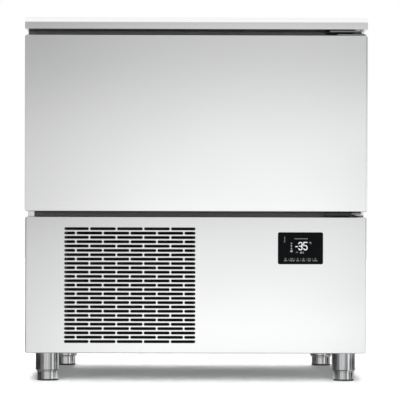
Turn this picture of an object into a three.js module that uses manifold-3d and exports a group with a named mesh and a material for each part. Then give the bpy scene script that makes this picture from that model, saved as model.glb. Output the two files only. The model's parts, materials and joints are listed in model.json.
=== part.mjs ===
// Undercounter blast chiller for five 600 x 400 trays.
// Millimetres, +Z up, front towards -Y, origin on the floor under the middle of the worktop.
//
// Layout: a slotted front panel hides the refrigeration machine, an insulated chamber with tray
// racks, a fan and an evaporator sits above it, and one full-width insulated door closes the chamber.

import * as THREE from 'three';
import { mergeVertices } from 'three/addons/utils/BufferGeometryUtils.js';
import Module from 'manifold-3d';

const wasm = await Module();
wasm.setup();

// ---------------------------------------------------------------- driving dimensions

const SHEET = 1.5; // folded stainless sheet
const SEAT = 0.3; // clearance where one piece rests on, or sits in, another
const WELD = 1e-3; // vertices closer than this are one vertex

// plan
const WIDTH = 800; // worktop and door
const DEPTH = 760; // worktop, front to rear
const SIDE_INSET = 4.5; // cabinet side inside the worktop's edge
const REAR_OVERHANG = 15; // worktop behind the cabinet
const FLANGE = 15; // folded edges of the cabinet sides

// heights, from the floor up
const LEG_HEIGHT = 66;
const PANEL_HEIGHT = 318.5;
const LOWER_GAP = 12.5;
const DOOR_HEIGHT = 412;
const UPPER_GAP = 14;
const TOP_HEIGHT = 27;

// worktop nose
const NOSE_HEIGHT = 10;
const NOSE_DEPTH = 16;
const FOLD = 2; // outside radius of the nose's folds

// legs
const LEG_RADIUS = 28;
const LEG_WALL = 2.8;
const FOOT_SHOWING = 24; // foot below the leg's sleeve
const FOOT_INSIDE = 24; // foot wall inside the sleeve
const FOOT_WALL = 9.7;
const FOOT_SOLE = 5;
const FOOT_ROUND = 2.5;
const FOOT_SIDE_GAP = 0.45;
const SPINDLE_RADIUS = 6;
const SPINDLE_TOP = 60;
const BOSS_WALL = 6.6;
const BOSS_LOW = 26;
const SPINDLE_SPACE = 3; // bore above the spindle's end
const FRONT_LEG_INSET = 52; // leg axis from the worktop's side edge
const REAR_LEG_INSET = 72;
const LEG_INSET_Y = 55; // leg axis from the worktop's front and rear edges

// base, deck and rear
const BASE_SHEET = 2;
const BASE_UPTURN = 18;
const DECK_DROP = 12.5; // top of the deck below the top of the front panel
const VENT_ROWS = 6;
const VENT_LENGTH = 150;
const VENT_HEIGHT = 6;
const VENT_PITCH = 22;
const VENT_COLUMN_X = 110; // middle of each vent column from the machine's middle
const VENT_FIRST = 90; // lowest vent row above the base

// front panel and its slots
const PANEL_SETBACK = 3; // panel face behind the door's face
const PANEL_INSET = 1; // panel end inside the door's end
const PANEL_CORNER = 5;
const SLOT_ROWS = 27;
const SLOT_COLUMNS = 5;
const SLOT_HEIGHT = 6.5;
const SLOT_ROW_PITCH = 10.125;
const SLOT_LENGTH = 60;
const SLOT_BRIDGE = 3;
const FIELD_WIDTH = 306;
const FIELD_TO_SIDE = 245.5; // middle of the slot field from the worktop's left edge
const FIELD_ABOVE_BASE = 27.2; // middle of the lowest slot row above the panel's lower edge

// display
const DISPLAY_WIDTH = 104.5;
const DISPLAY_HEIGHT = 73.7;
const DISPLAY_TO_SIDE = 156.3; // middle of the display from the worktop's right edge
const DISPLAY_ABOVE_BASE = 245.8;
const DISPLAY_CORNER = 3.5;
const GLASS_THICKNESS = 3;
const GLASS_PROUD = 0.6;
const HOUSING_MARGIN = 7;
const HOUSING_DEPTH = 25;

// door
const DOOR_THICKNESS = 60;
const DOOR_CORNER = 3;
const DOOR_OVERLAP_X = 63; // door beyond the chamber opening, each side
const DOOR_OVERLAP_Z = 35; // door beyond the chamber opening, above and below
const PLATEAU_RISE = 4;
const PLATEAU_MARGIN = 10; // between the gasket and the raised middle of the inner skin
const GASKET_THICKNESS = 10;
const GASKET_WIDTH = 18;
const GASKET_ROOT = 12; // width of the gasket where it sits on the door
const GASKET_ROOT_DEPTH = 4;
const GASKET_INSET_X = 27;
const GASKET_INSET_Z = 14;
const GASKET_CORNER = 14;
const GRIP_DEPTH = 20; // finger groove in the door's free edge
const GRIP_WIDTH = 38;
const GRIP_WALL = 2;
const GRIP_BEHIND_FACE = 14;
const GRIP_END = 13; // closed door edge above and below the groove

// door hinge
const HINGE_INSET_X = 25; // pin axis from the door's end
const HINGE_INSET_Y = 20; // pin axis behind the door's face
const PIN_RADIUS = 5;
const PIN_DEPTH = 26; // pin inside the door
const PIN_HEAD_RADIUS = 8;
const PIN_HEAD = 1.9;
const PIN_PLAY = 0.4;
const BUSH_WALL = 3.6;
const BUSH_FLANGE = 3;
const BUSH_FLANGE_HEIGHT = 2;
const UPPER_FLANGE_HEIGHT = 4.4; // deeper, as the upper bracket sits close under the worktop
const BRACKET_THICKNESS = 3.5;
const BRACKET_LENGTH = 84;
const BRACKET_END = 11; // bracket beyond the pin axis
const BRACKET_FRONT = 14; // bracket in front of the pin axis
const BRACKET_SLANT = 10;
const DOOR_PLATE_THICKNESS = 2.6;
const DOOR_PLATE_LENGTH = 77;
const DOOR_PLATE_FRONT = 16;
const DOOR_PLATE_BACK = 32;

// chamber
const BREAKER_DEPTH = 12;
const LINER_FLANGE = 12;
const CHAMBER_CORNER = 12;
const REAR_WALL = 58; // liner's rear face to the rear of the cabinet sides

// racks
const RACK_LEVELS = 5;
const RACK_PITCH = 62;
const RACK_FIRST = 30; // lowest runner above the chamber floor
const RUNNER_STANDOFF = 35; // runner face from the chamber wall, which leaves 604 for a 600 tray
const RUNNER_LIP = 17;
const RUNNER_HEIGHT = 18;
const RUNNER_SHEET = 2;
const RACK_FRONT = 28; // runner ends behind the liner's front edge
const RACK_REAR = 9.1; // runner ends in front of the deflector
const UPRIGHT_DEPTH = 25;
const UPRIGHT_THICKNESS = 12;
const UPRIGHT_END = 40; // upright's middle from the runner's end

// evaporator side
const DEFLECTOR_TO_REAR = 167; // deflector's face to the liner's rear face
const DEFLECTOR_FOLD = 25;
const GRILLE_RADIUS = 118;
const GRILLE_ROW_PITCH = 28;
const GRILLE_SLOT = 15;
const GRILLE_BRIDGE = 10;
const OUTLET_COUNT = 3;
const OUTLET_PITCH = 30;
const OUTLET_WIDTH = 14;
const OUTLET_HEIGHT = 240;
const OUTLET_FIRST = 205; // innermost outlet from the machine's middle
const COIL_TO_WALL = 97; // coil end from the chamber wall, with the valve and the pipes between
const COIL_TOP_SPACE = 39.9; // coil below the chamber's ceiling
const COIL_DEPTH = 65;
const COIL_REAR_SPACE = 10;
const EVAPORATOR_FINS = 16;
const DRIP_TRAY_HEIGHT = 20;
const DRIP_TRAY_MARGIN = 6;
const DRAIN_RADIUS = 10;
const DRAIN_WALL = 2;
const DRAIN_BESIDE_COIL = 28; // drain axis beyond the coil's left end
const DRAIN_FLANGE = 4;

// fans
const EVAPORATOR_FAN_RADIUS = 108;
const CONDENSER_FAN_RADIUS = 118;
const FAN_HUB_RADIUS = 26;
const FAN_HUB_LENGTH = 24;
const FAN_BLADES = 4;
const FAN_PITCH = 0.48; // radians
const BLADE_THICKNESS = 2;
const SHAFT_RADIUS = 4;
const MOTOR_RADIUS = 40;
const MOTOR_LENGTH = 34;
const ARM_WIDTH = 8;
const ARM_REACH = 20; // motor arms beyond the fan's tip
const FAN_FRONT_SPACE = 12; // plate to fan hub
const FAN_TO_MOTOR = 6;

// condenser side
const CONDENSER_WIDTH = 300;
const CONDENSER_DEPTH = 75;
const CONDENSER_TOP_SPACE = 12; // below the deck
const CONDENSER_BEHIND_FRONT = 20; // condenser behind the cabinet's front plane
const CONDENSER_FINS = 12;
const FIN = 2;
const COIL_RAIL = 14; // solid band above and below a coil's fins
const RETURN_BEND_RADIUS = 15;
const RETURN_BENDS = 2;
const TUBE_RADIUS = 5;
const SHROUD_DEPTH = 50;
const SHROUD_ORIFICE_PLAY = 5;

// compressor and its circuit
const COMPRESSOR_TO_SIDE = 210; // compressor axis from the worktop's right edge
const COMPRESSOR_TO_REAR = 190; // compressor axis to the worktop's rear edge
const COMPRESSOR_RADIUS = 80;
const COMPRESSOR_HEIGHT = 200;
const COMPRESSOR_FOOT_LENGTH = 190;
const COMPRESSOR_FOOT_WIDTH = 150;
const COMPRESSOR_FOOT_SHEET = 4;
const GROMMET_RADIUS = 14;
const GROMMET_HEIGHT = 16;
const GROMMET_INSET = 18;
const STUB_LENGTH = 15;
const STUB_SPREAD = 25;
const SUCTION_STUB_HEIGHT = 112; // above the compressor's foot
const DISCHARGE_STUB_HEIGHT = 152;
const TERMINAL_WIDTH = 70;
const TERMINAL_HEIGHT = 80;
const TERMINAL_DEPTH = 30;
const RECEIVER_X = 20;
const RECEIVER_TO_REAR = 90;
const RECEIVER_RADIUS = 40;
const RECEIVER_HEIGHT = 180;
const RECEIVER_INLET_HEIGHT = 40;
const DRIER_RADIUS = 18;
const DRIER_LENGTH = 110;
const DRIER_NECK = 14;
const DRIER_TO_RECEIVER = 85;
const DRIER_ABOVE_RECEIVER = 50;
const LIQUID_RADIUS = 4;
const SUCTION_RADIUS = 7;
const LINE_PORT_RADIUS = 14;
const SUCTION_PORT_OUT = 35; // port axis beyond the coil's right end
const LIQUID_PORT_OUT = 65;
const VALVE_RADIUS = 12;
const VALVE_HEIGHT = 60;
const VALVE_ABOVE_FLOOR = 48;
const PIPE_BEND_RUN = 26; // straight run of a pipe before its first bend

// small equipment
const PAN_LENGTH = 180;
const PAN_WIDTH = 150;
const PAN_HEIGHT = 30;
const DRAIN_ABOVE_PAN = 12;
const BOX_WIDTH = 190;
const BOX_HEIGHT = 145;
const BOX_DEPTH = 100;
const BOX_TO_SIDE = 155; // middle of the box from the worktop's right edge
const BOX_BEHIND_FRONT = 20;
const BOX_LID = 8;
const GLAND_TO_SIDE = 100; // gland axis from the worktop's right edge
const GLAND_ABOVE_BASE = 54;
const GLAND_RADIUS = 10;
const GLAND_BORE = 5;
const GLAND_NUT_RADIUS = 14;
const GLAND_NUT = 8;

// facets
const ROUND = 14; // sides of a turned piece
const SMALL_ROUND = 10; // sides of a small turned piece or a drilled hole
const ARC = 1.5; // half the straight edges in a round corner or a slot's round end
const CURVE = 2; // straight edges in a free curve
const PIPE_SIDES = 6;
const PIPE_STEPS = 11;

// ---------------------------------------------------------------- places worked out from them

const frontY = -DEPTH / 2;
const rearY = DEPTH / 2;
const doorX = WIDTH / 2;
const cabinetX = doorX - SIDE_INSET;
const cabinetRearY = rearY - REAR_OVERHANG;
const doorBackY = frontY + DOOR_THICKNESS;
const cabinetFrontY = doorBackY + GASKET_THICKNESS + 2 * SEAT;

const baseZ = LEG_HEIGHT;
const panelTop = baseZ + PANEL_HEIGHT;
const doorBottom = panelTop + LOWER_GAP;
const doorTop = doorBottom + DOOR_HEIGHT;
const topUnderside = doorTop + UPPER_GAP;
const topSurface = topUnderside + TOP_HEIGHT;
const bodyTop = topUnderside - SEAT;
const floorZ = baseZ + BASE_SHEET + SEAT; // where things stand in the machine compartment
const deckTop = panelTop - DECK_DROP;
const deckUnder = deckTop - SHEET;

const insideX = cabinetX - SHEET - SEAT; // between the cabinet sides
const insideFrontY = cabinetFrontY + SHEET + SEAT;
const insideRearY = cabinetRearY - SHEET - SEAT;

const panelX = doorX - PANEL_INSET;
const panelY = frontY + PANEL_SETBACK;
const fieldX = FIELD_TO_SIDE - doorX;
const displayX = doorX - DISPLAY_TO_SIDE;

const chamberX = doorX - DOOR_OVERLAP_X;
const chamberFloor = doorBottom + DOOR_OVERLAP_Z;
const chamberCeiling = doorTop - DOOR_OVERLAP_Z;
const chamberRearY = cabinetRearY - REAR_WALL;
const linerFrontY = cabinetFrontY + BREAKER_DEPTH + SEAT;
const foamFrontY = linerFrontY + SHEET + SEAT;
const chamberStand = chamberFloor + SEAT; // where things stand in the chamber

const hingeX = doorX - HINGE_INSET_X;
const hingeY = frontY + HINGE_INSET_Y;
const boreRadius = PIN_RADIUS + PIN_PLAY;
const bushRadius = boreRadius + BUSH_WALL;

const deflectorY = chamberRearY - DEFLECTOR_TO_REAR;
const deflectorBackY = deflectorY + SHEET;
const coilRearY = chamberRearY - COIL_REAR_SPACE;
const coilFrontY = coilRearY - COIL_DEPTH;
const coilY = (coilRearY + coilFrontY) / 2;
const coilX = chamberX - COIL_TO_WALL;
const coilFloor = chamberStand + SHEET + SEAT;
const coilTop = chamberCeiling - COIL_TOP_SPACE;
const chamberMidZ = (chamberFloor + chamberCeiling) / 2;
const drainX = -coilX - DRAIN_BESIDE_COIL;
const drainHole = DRAIN_RADIUS + 3 * SEAT;
const suctionX = coilX + SUCTION_PORT_OUT;
const liquidX = coilX + LIQUID_PORT_OUT;

const condenserX0 = fieldX - CONDENSER_WIDTH / 2;
const condenserX1 = condenserX0 + CONDENSER_WIDTH;
const condenserFrontY = cabinetFrontY + CONDENSER_BEHIND_FRONT;
const condenserRearY = condenserFrontY + CONDENSER_DEPTH;
const condenserY = (condenserFrontY + condenserRearY) / 2;
const condenserTop = deckUnder - CONDENSER_TOP_SPACE;
const condenserMidZ = (floorZ + condenserTop) / 2;
const shroudFrontY = condenserRearY + SEAT;
const shroudRearY = shroudFrontY + SHROUD_DEPTH;

const compressorX = doorX - COMPRESSOR_TO_SIDE;
const compressorY = rearY - COMPRESSOR_TO_REAR;
const compressorFoot = floorZ + GROMMET_HEIGHT + SEAT;
const compressorBase = compressorFoot + COMPRESSOR_FOOT_SHEET;
const compressorStubX = compressorX - COMPRESSOR_RADIUS - STUB_LENGTH;
const receiverY = rearY - RECEIVER_TO_REAR;
const receiverTop = floorZ + RECEIVER_HEIGHT;
const drierZ = receiverTop + DRIER_ABOVE_RECEIVER;
const drierRearY = receiverY - DRIER_TO_RECEIVER;

const boxX = doorX - BOX_TO_SIDE;
const glandX = doorX - GLAND_TO_SIDE;

// ---------------------------------------------------------------- geometry helpers

// One closed body: shared vertices merged, collapsed faces dropped, faces pointing out.
function tidy(geometry) {
  const bare = geometry.index ? geometry.toNonIndexed() : geometry.clone();
  bare.deleteAttribute('normal');
  bare.deleteAttribute('uv');
  const merged = mergeVertices(bare, WELD);
  const corner = [new THREE.Vector3(), new THREE.Vector3(), new THREE.Vector3()];
  const faces = [];
  let volume = 0;
  for (let i = 0; i < merged.index.count; i += 3) {
    const [a, b, c] = [0, 1, 2].map((k) => merged.index.getX(i + k));
    if (a === b || b === c || c === a) continue;
    [a, b, c].forEach((vertex, k) => corner[k].fromBufferAttribute(merged.attributes.position, vertex));
    volume += corner[0].dot(corner[1].cross(corner[2]));
    faces.push([a, b, c]);
  }
  if (volume < 0) faces.forEach((face) => face.reverse());
  merged.setIndex(faces.flat());
  return merged;
}

function solid(geometry) {
  const mesh = tidy(geometry);
  return new wasm.Manifold(new wasm.Mesh({
    numProp: 3,
    vertProperties: mesh.attributes.position.array,
    triVerts: new Uint32Array(mesh.index.array),
  }));
}

function geometryOf(manifold) {
  const mesh = manifold.getMesh();
  const geometry = new THREE.BufferGeometry();
  geometry.setAttribute('position', new THREE.BufferAttribute(mesh.vertProperties, 3));
  geometry.setIndex(new THREE.BufferAttribute(mesh.triVerts, 1));
  return geometry;
}

// The first body joined with the others, or with the others cut away; each is a geometry.
function join(first, ...others) {
  return geometryOf(others.reduce((sum, next) => sum.add(solid(next)), solid(first)));
}

function cut(first, ...others) {
  return geometryOf(others.reduce((rest, next) => rest.subtract(solid(next)), solid(first)));
}

function block(x0, x1, y0, y1, z0, z1) {
  const box = new THREE.BoxGeometry(x1 - x0, y1 - y0, z1 - z0);
  return box.translate((x0 + x1) / 2, (y0 + y1) / 2, (z0 + z1) / 2);
}

function extrude(shape, depth, segments = ARC) {
  return new THREE.ExtrudeGeometry(shape, { depth, bevelEnabled: false, curveSegments: segments });
}

// A shape drawn in X and Z, standing between two depths.
function alongY(shape, y0, y1, segments) {
  return extrude(shape, y1 - y0, segments).rotateX(Math.PI / 2).translate(0, y1, 0);
}

// A shape drawn in X and Y, standing between two heights.
function alongZ(shape, z0, z1, segments) {
  return extrude(shape, z1 - z0, segments).translate(0, 0, z0);
}

// A shape drawn in Y and Z, running between two widths.
function alongX(shape, x0, x1, segments) {
  const turn = new THREE.Matrix4().makeBasis(
    new THREE.Vector3(0, 1, 0),
    new THREE.Vector3(0, 0, 1),
    new THREE.Vector3(1, 0, 0),
  );
  return extrude(shape, x1 - x0, segments).applyMatrix4(turn).translate(x0, 0, 0);
}

function polygon(points) {
  return new THREE.Shape(points.map(([u, v]) => new THREE.Vector2(u, v)));
}

function roundedRect(u0, u1, v0, v1, r) {
  const shape = new THREE.Shape();
  shape.moveTo(u0 + r, v0);
  shape.lineTo(u1 - r, v0);
  shape.absarc(u1 - r, v0 + r, r, -Math.PI / 2, 0);
  shape.lineTo(u1, v1 - r);
  shape.absarc(u1 - r, v1 - r, r, 0, Math.PI / 2);
  shape.lineTo(u0 + r, v1);
  shape.absarc(u0 + r, v1 - r, r, Math.PI / 2, Math.PI);
  shape.lineTo(u0, v0 + r);
  shape.absarc(u0 + r, v0 + r, r, Math.PI, 1.5 * Math.PI);
  return shape;
}

// A slot with round ends; level when it is longer in u, upright when it is longer in v.
function slot(u, v, length, height, upright = false) {
  const r = height / 2;
  const reach = length / 2 - r;
  const shape = new THREE.Shape();
  if (upright) {
    shape.absarc(u, v - reach, r, Math.PI, 2 * Math.PI);
    shape.absarc(u, v + reach, r, 0, Math.PI);
  } else {
    shape.absarc(u + reach, v, r, -Math.PI / 2, Math.PI / 2);
    shape.absarc(u - reach, v, r, Math.PI / 2, 1.5 * Math.PI);
  }
  return shape;
}

// A turned body; the profile is [radius, height] pairs and the axis stays upright.
function turned(profile, sides = ROUND) {
  const points = profile.map(([r, h]) => new THREE.Vector2(r, h));
  return new THREE.LatheGeometry(points, sides).rotateX(Math.PI / 2);
}

// A round bar or drill along Z, Y or X, from one end to the other.
function barZ(x, y, radius, z0, z1, sides = SMALL_ROUND) {
  return turned([[0, z0], [radius, z0], [radius, z1], [0, z1]], sides).translate(x, y, 0);
}

function barY(x, z, radius, y0, y1, sides = SMALL_ROUND) {
  const bar = turned([[0, -y1], [radius, -y1], [radius, -y0], [0, -y0]], sides);
  return bar.rotateX(Math.PI / 2).translate(x, 0, z);
}

function barX(y, z, radius, x0, x1, sides = SMALL_ROUND) {
  const bar = turned([[0, x0], [radius, x0], [radius, x1], [0, x1]], sides);
  return bar.rotateY(Math.PI / 2).translate(0, y, z);
}

// A solid round tube bent along a smooth curve through the points.
function pipe(points, radius, steps = PIPE_STEPS) {
  const route = new THREE.CatmullRomCurve3(points.map((p) => new THREE.Vector3(...p)));
  const section = new THREE.Shape().absarc(0, 0, radius, 0, 2 * Math.PI);
  return new THREE.ExtrudeGeometry(section, {
    extrudePath: route,
    steps,
    curveSegments: PIPE_SIDES / 2,
  });
}

function mirrored(geometry) {
  return tidy(geometry.clone().scale(-1, 1, 1));
}

// ---------------------------------------------------------------- materials and the scene tree

function finish(color, roughness, metalness) {
  return () => new THREE.MeshStandardMaterial({ color, roughness, metalness });
}

const stainless = finish(0xc9cbcc, 0.38, 0.9);
const polished = finish(0xb9bbbd, 0.16, 1);
const blackPlastic = finish(0x151617, 0.6, 0);
const blackGlass = finish(0x050607, 0.06, 0);
const foam = finish(0xd9c98f, 0.9, 0);
const galvanised = finish(0x9fa4a6, 0.5, 0.8);
const aluminium = finish(0xb4b8ba, 0.45, 0.9);
const copper = finish(0xb8734a, 0.35, 1);
const brass = finish(0xb59a54, 0.35, 1);
const blackPaint = finish(0x17181a, 0.4, 0.3);
const rubber = finish(0x1b1b1c, 0.85, 0);
const nylon = finish(0xe4e4df, 0.5, 0);

const chiller = new THREE.Group();

function add(name, geometry, material, parent = chiller) {
  const mesh = new THREE.Mesh(geometry.index ? geometry : tidy(geometry), material());
  mesh.geometry = tidy(mesh.geometry);
  mesh.name = name;
  parent.add(mesh);
  return mesh;
}

// ---------------------------------------------------------------- worktop

// The worktop's side view, drawn in by an inset from its outer faces.
function noseProfile(inset, fold) {
  const slope = Math.atan2(NOSE_HEIGHT, NOSE_DEPTH);
  const front = frontY + inset;
  const rear = rearY - inset;
  const shoulder = topSurface - NOSE_HEIGHT - inset * Math.tan((Math.PI / 2 - slope) / 2);
  const crest = frontY + NOSE_DEPTH + inset * Math.tan(slope / 2);
  const top = topSurface - inset;
  const bottom = topUnderside + inset;
  const along = [fold * Math.cos(slope), fold * Math.sin(slope)];
  const shape = new THREE.Shape();
  shape.moveTo(front, bottom);
  shape.lineTo(front, shoulder - fold);
  shape.quadraticCurveTo(front, shoulder, front + along[0], shoulder + along[1]);
  shape.lineTo(crest - along[0], top - along[1]);
  shape.quadraticCurveTo(crest, top, crest + fold, top);
  shape.lineTo(rear - fold, top);
  shape.quadraticCurveTo(rear, top, rear, top - fold);
  shape.lineTo(rear, bottom);
  return shape;
}

function worktop() {
  const outside = alongX(noseProfile(0, FOLD), -doorX, doorX, CURVE);
  const inside = alongX(noseProfile(SHEET, FOLD / 2), -doorX + SHEET, doorX - SHEET, CURVE);
  const underside = block(
    -cabinetX + FLANGE, cabinetX - FLANGE,
    cabinetFrontY + FLANGE, cabinetRearY - FLANGE,
    topUnderside - SHEET, topUnderside + 2 * SHEET,
  );
  return cut(outside, inside, underside);
}

add('worktop', worktop(), stainless);

// ---------------------------------------------------------------- cabinet shell

function sidePanel() {
  const plan = polygon([
    [cabinetX - FLANGE, cabinetFrontY],
    [cabinetX, cabinetFrontY],
    [cabinetX, cabinetRearY],
    [cabinetX - FLANGE, cabinetRearY],
    [cabinetX - FLANGE, cabinetRearY - SHEET],
    [cabinetX - SHEET, cabinetRearY - SHEET],
    [cabinetX - SHEET, cabinetFrontY + SHEET],
    [cabinetX - FLANGE, cabinetFrontY + SHEET],
  ]);
  return alongZ(plan, floorZ, bodyTop);
}

function baseTray() {
  const floor = block(-cabinetX, cabinetX, panelY + SHEET + SEAT, cabinetRearY, baseZ, baseZ + BASE_SHEET);
  const upturn = (x0, x1, y0, y1) => block(x0, x1, y0, y1, baseZ, floorZ + BASE_UPTURN);
  const frontEdge = panelY + SHEET + SEAT;
  return join(
    floor,
    upturn(-cabinetX, cabinetX, frontEdge, frontEdge + BASE_SHEET),
    upturn(-insideX, -insideX + BASE_SHEET, insideFrontY, insideRearY),
    upturn(insideX - BASE_SHEET, insideX, insideFrontY, insideRearY),
  );
}

function deckPanel() {
  const sheet = block(-insideX, insideX, insideFrontY, insideRearY, deckUnder, deckTop);
  return cut(sheet, ...floorPorts(deckUnder - SHEET, deckTop + SHEET));
}

// Holes for the drain and the two refrigerant lines, between two heights.
function floorPorts(z0, z1) {
  return [
    barZ(drainX, coilY, drainHole, z0, z1),
    barZ(suctionX, coilY, LINE_PORT_RADIUS, z0, z1),
    barZ(liquidX, coilY, LINE_PORT_RADIUS, z0, z1),
  ];
}

function rearPanel() {
  const sheetX = cabinetX - SHEET;
  const near = cabinetRearY + SEAT;
  const vents = [];
  for (const side of [-1, 1]) {
    for (let row = 0; row < VENT_ROWS; row += 1) {
      const z = baseZ + VENT_FIRST + row * VENT_PITCH;
      vents.push(slot(side * VENT_COLUMN_X, z, VENT_LENGTH, VENT_HEIGHT));
    }
  }
  const glandHole = GLAND_RADIUS + 3 * SEAT;
  return cut(
    block(-sheetX, sheetX, near, near + SHEET, baseZ, bodyTop),
    alongY(vents, near - SHEET, near + 2 * SHEET),
    barY(glandX, baseZ + GLAND_ABOVE_BASE, glandHole, near - SHEET, near + 2 * SHEET),
  );
}

// A threaded body through the rear panel, with a nut inside and a clamping nut outside.
function cableGland() {
  const outer = cabinetRearY + 2 * SEAT + SHEET;
  const inner = cabinetRearY - SHEET;
  const body = barY(0, 0, GLAND_RADIUS, inner - GLAND_NUT, outer + GLAND_NUT);
  const outerNut = barY(0, 0, GLAND_NUT_RADIUS, outer, outer + GLAND_NUT, 6);
  const innerNut = barY(0, 0, GLAND_NUT_RADIUS, inner - GLAND_NUT, cabinetRearY, 6);
  const bore = barY(0, 0, GLAND_BORE, inner - 2 * GLAND_NUT, outer + 2 * GLAND_NUT);
  return cut(join(body, outerNut, innerNut), bore);
}

add('left_side_panel', mirrored(sidePanel()), stainless);
add('right_side_panel', sidePanel(), stainless);
add('base_tray', baseTray(), galvanised);
add('deck_panel', deckPanel(), galvanised);
add('rear_panel', rearPanel(), stainless);
add('cable_gland', cableGland(), blackPlastic).position.set(glandX, 0, baseZ + GLAND_ABOVE_BASE);

// ---------------------------------------------------------------- legs

function legSleeve() {
  const bore = LEG_RADIUS - LEG_WALL;
  const drill = SPINDLE_RADIUS + FOOT_SIDE_GAP;
  const boss = drill + BOSS_WALL;
  const ceiling = FOOT_SHOWING + FOOT_INSIDE + SPINDLE_SPACE;
  const drillTop = SPINDLE_TOP + SPINDLE_SPACE;
  return turned([
    [0, drillTop],
    [drill, drillTop],
    [drill, BOSS_LOW],
    [boss, BOSS_LOW],
    [boss, ceiling],
    [bore, ceiling],
    [bore, FOOT_SHOWING],
    [LEG_RADIUS, FOOT_SHOWING],
    [LEG_RADIUS, LEG_HEIGHT - SEAT],
    [0, LEG_HEIGHT - SEAT],
  ]);
}

function adjustableFoot() {
  const outer = LEG_RADIUS - LEG_WALL - FOOT_SIDE_GAP;
  const inner = outer - FOOT_WALL;
  return turned([
    [0, 0],
    [outer - FOOT_ROUND, 0],
    [outer, FOOT_ROUND],
    [outer, FOOT_SHOWING + FOOT_INSIDE],
    [inner, FOOT_SHOWING + FOOT_INSIDE],
    [inner, FOOT_SOLE],
    [SPINDLE_RADIUS, FOOT_SOLE],
    [SPINDLE_RADIUS, SPINDLE_TOP],
    [0, SPINDLE_TOP],
  ]);
}

for (const [place, x, y] of [
  ['front_left', -doorX + FRONT_LEG_INSET, frontY + LEG_INSET_Y],
  ['front_right', doorX - FRONT_LEG_INSET, frontY + LEG_INSET_Y],
  ['rear_left', -doorX + REAR_LEG_INSET, rearY - LEG_INSET_Y],
  ['rear_right', doorX - REAR_LEG_INSET, rearY - LEG_INSET_Y],
]) {
  const leg = new THREE.Group();
  leg.position.set(x, y, 0);
  add(`${place}_leg`, legSleeve(), polished, leg);
  add(`${place}_foot`, adjustableFoot(), polished, leg);
  chiller.add(leg);
}

// ---------------------------------------------------------------- front panel

// The slot field: every second row has its bridges moved by half a slot, and the rows' ends
// are cut by the edges of the field.
function slotField() {
  const slots = [];
  const pitch = SLOT_LENGTH + SLOT_BRIDGE;
  const left = fieldX - FIELD_WIDTH / 2;
  const right = fieldX + FIELD_WIDTH / 2;
  for (let row = 0; row < SLOT_ROWS; row += 1) {
    const z = baseZ + FIELD_ABOVE_BASE + row * SLOT_ROW_PITCH;
    const shift = row % 2 === 0 ? 0 : pitch / 2;
    for (let k = -SLOT_COLUMNS; k <= SLOT_COLUMNS; k += 1) {
      const middle = fieldX + k * pitch + shift;
      const from = Math.max(middle - SLOT_LENGTH / 2, left);
      const to = Math.min(middle + SLOT_LENGTH / 2, right);
      if (to - from < 2 * SLOT_HEIGHT) continue;
      slots.push(slot((from + to) / 2, z, to - from, SLOT_HEIGHT));
    }
  }
  return slots;
}

function frontPanel() {
  const back = cabinetFrontY - SEAT;
  const outside = alongY(roundedRect(-panelX, panelX, baseZ, panelTop, PANEL_CORNER), panelY, back);
  const pocket = block(
    -panelX + SHEET, panelX - SHEET,
    panelY + SHEET, back + SHEET,
    baseZ - SHEET, panelTop - SHEET,
  );
  const slots = alongY(slotField(), panelY - SHEET, panelY + 2 * SHEET);
  const window = alongY(displayOutline(SEAT), panelY - SHEET, panelY + 2 * SHEET);
  return cut(outside, pocket, slots, window);
}

function displayOutline(margin) {
  const z = baseZ + DISPLAY_ABOVE_BASE;
  return roundedRect(
    displayX - DISPLAY_WIDTH / 2 - margin, displayX + DISPLAY_WIDTH / 2 + margin,
    z - DISPLAY_HEIGHT / 2 - margin, z + DISPLAY_HEIGHT / 2 + margin,
    DISPLAY_CORNER + margin,
  );
}

const glassFrontY = panelY - GLASS_PROUD;
const glassBackY = glassFrontY + GLASS_THICKNESS;

function displayHousing() {
  const front = panelY + SHEET + SEAT;
  const shell = alongY(displayOutline(HOUSING_MARGIN), front, front + HOUSING_DEPTH);
  const seat = alongY(displayOutline(SEAT), front - SHEET, glassBackY + SEAT);
  const inside = alongY(displayOutline(0), glassBackY + SEAT + SHEET, front + 2 * HOUSING_DEPTH);
  return cut(shell, seat, inside);
}

add('front_panel', frontPanel(), stainless);
add('display_glass', alongY(displayOutline(0), glassFrontY, glassBackY), blackGlass);
add('display_housing', displayHousing(), blackPlastic);

// ---------------------------------------------------------------- insulated chamber

function chamberOutline(margin) {
  return roundedRect(
    -chamberX - margin, chamberX + margin,
    chamberFloor - margin, chamberCeiling + margin,
    CHAMBER_CORNER + margin,
  );
}

function breakerFrame() {
  const edge = cabinetX - FLANGE - SEAT;
  const ring = polygon([[-edge, deckTop + SEAT], [edge, deckTop + SEAT], [edge, bodyTop], [-edge, bodyTop]]);
  ring.holes.push(chamberOutline(0));
  return alongY(ring, cabinetFrontY, cabinetFrontY + BREAKER_DEPTH);
}

function innerLiner() {
  const shell = alongY(chamberOutline(SHEET), linerFrontY, chamberRearY + SHEET);
  const lip = alongY(chamberOutline(SHEET + LINER_FLANGE), linerFrontY, linerFrontY + SHEET);
  const inside = alongY(chamberOutline(0), linerFrontY - SHEET, chamberRearY);
  return cut(join(shell, lip), inside, ...floorPorts(chamberFloor - 2 * SHEET, chamberFloor + SHEET));
}

function cabinetInsulation() {
  const bulk = block(-insideX, insideX, foamFrontY, insideRearY, deckTop + SEAT, bodyTop);
  const pocket = alongY(chamberOutline(SHEET + SEAT), foamFrontY - SHEET, chamberRearY + SHEET + SEAT);
  return cut(bulk, pocket, ...floorPorts(deckTop, chamberFloor));
}

add('breaker_frame', breakerFrame(), blackPlastic);
add('inner_liner', innerLiner(), stainless);
add('cabinet_insulation', cabinetInsulation(), foam);

// ---------------------------------------------------------------- tray racks

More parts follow.
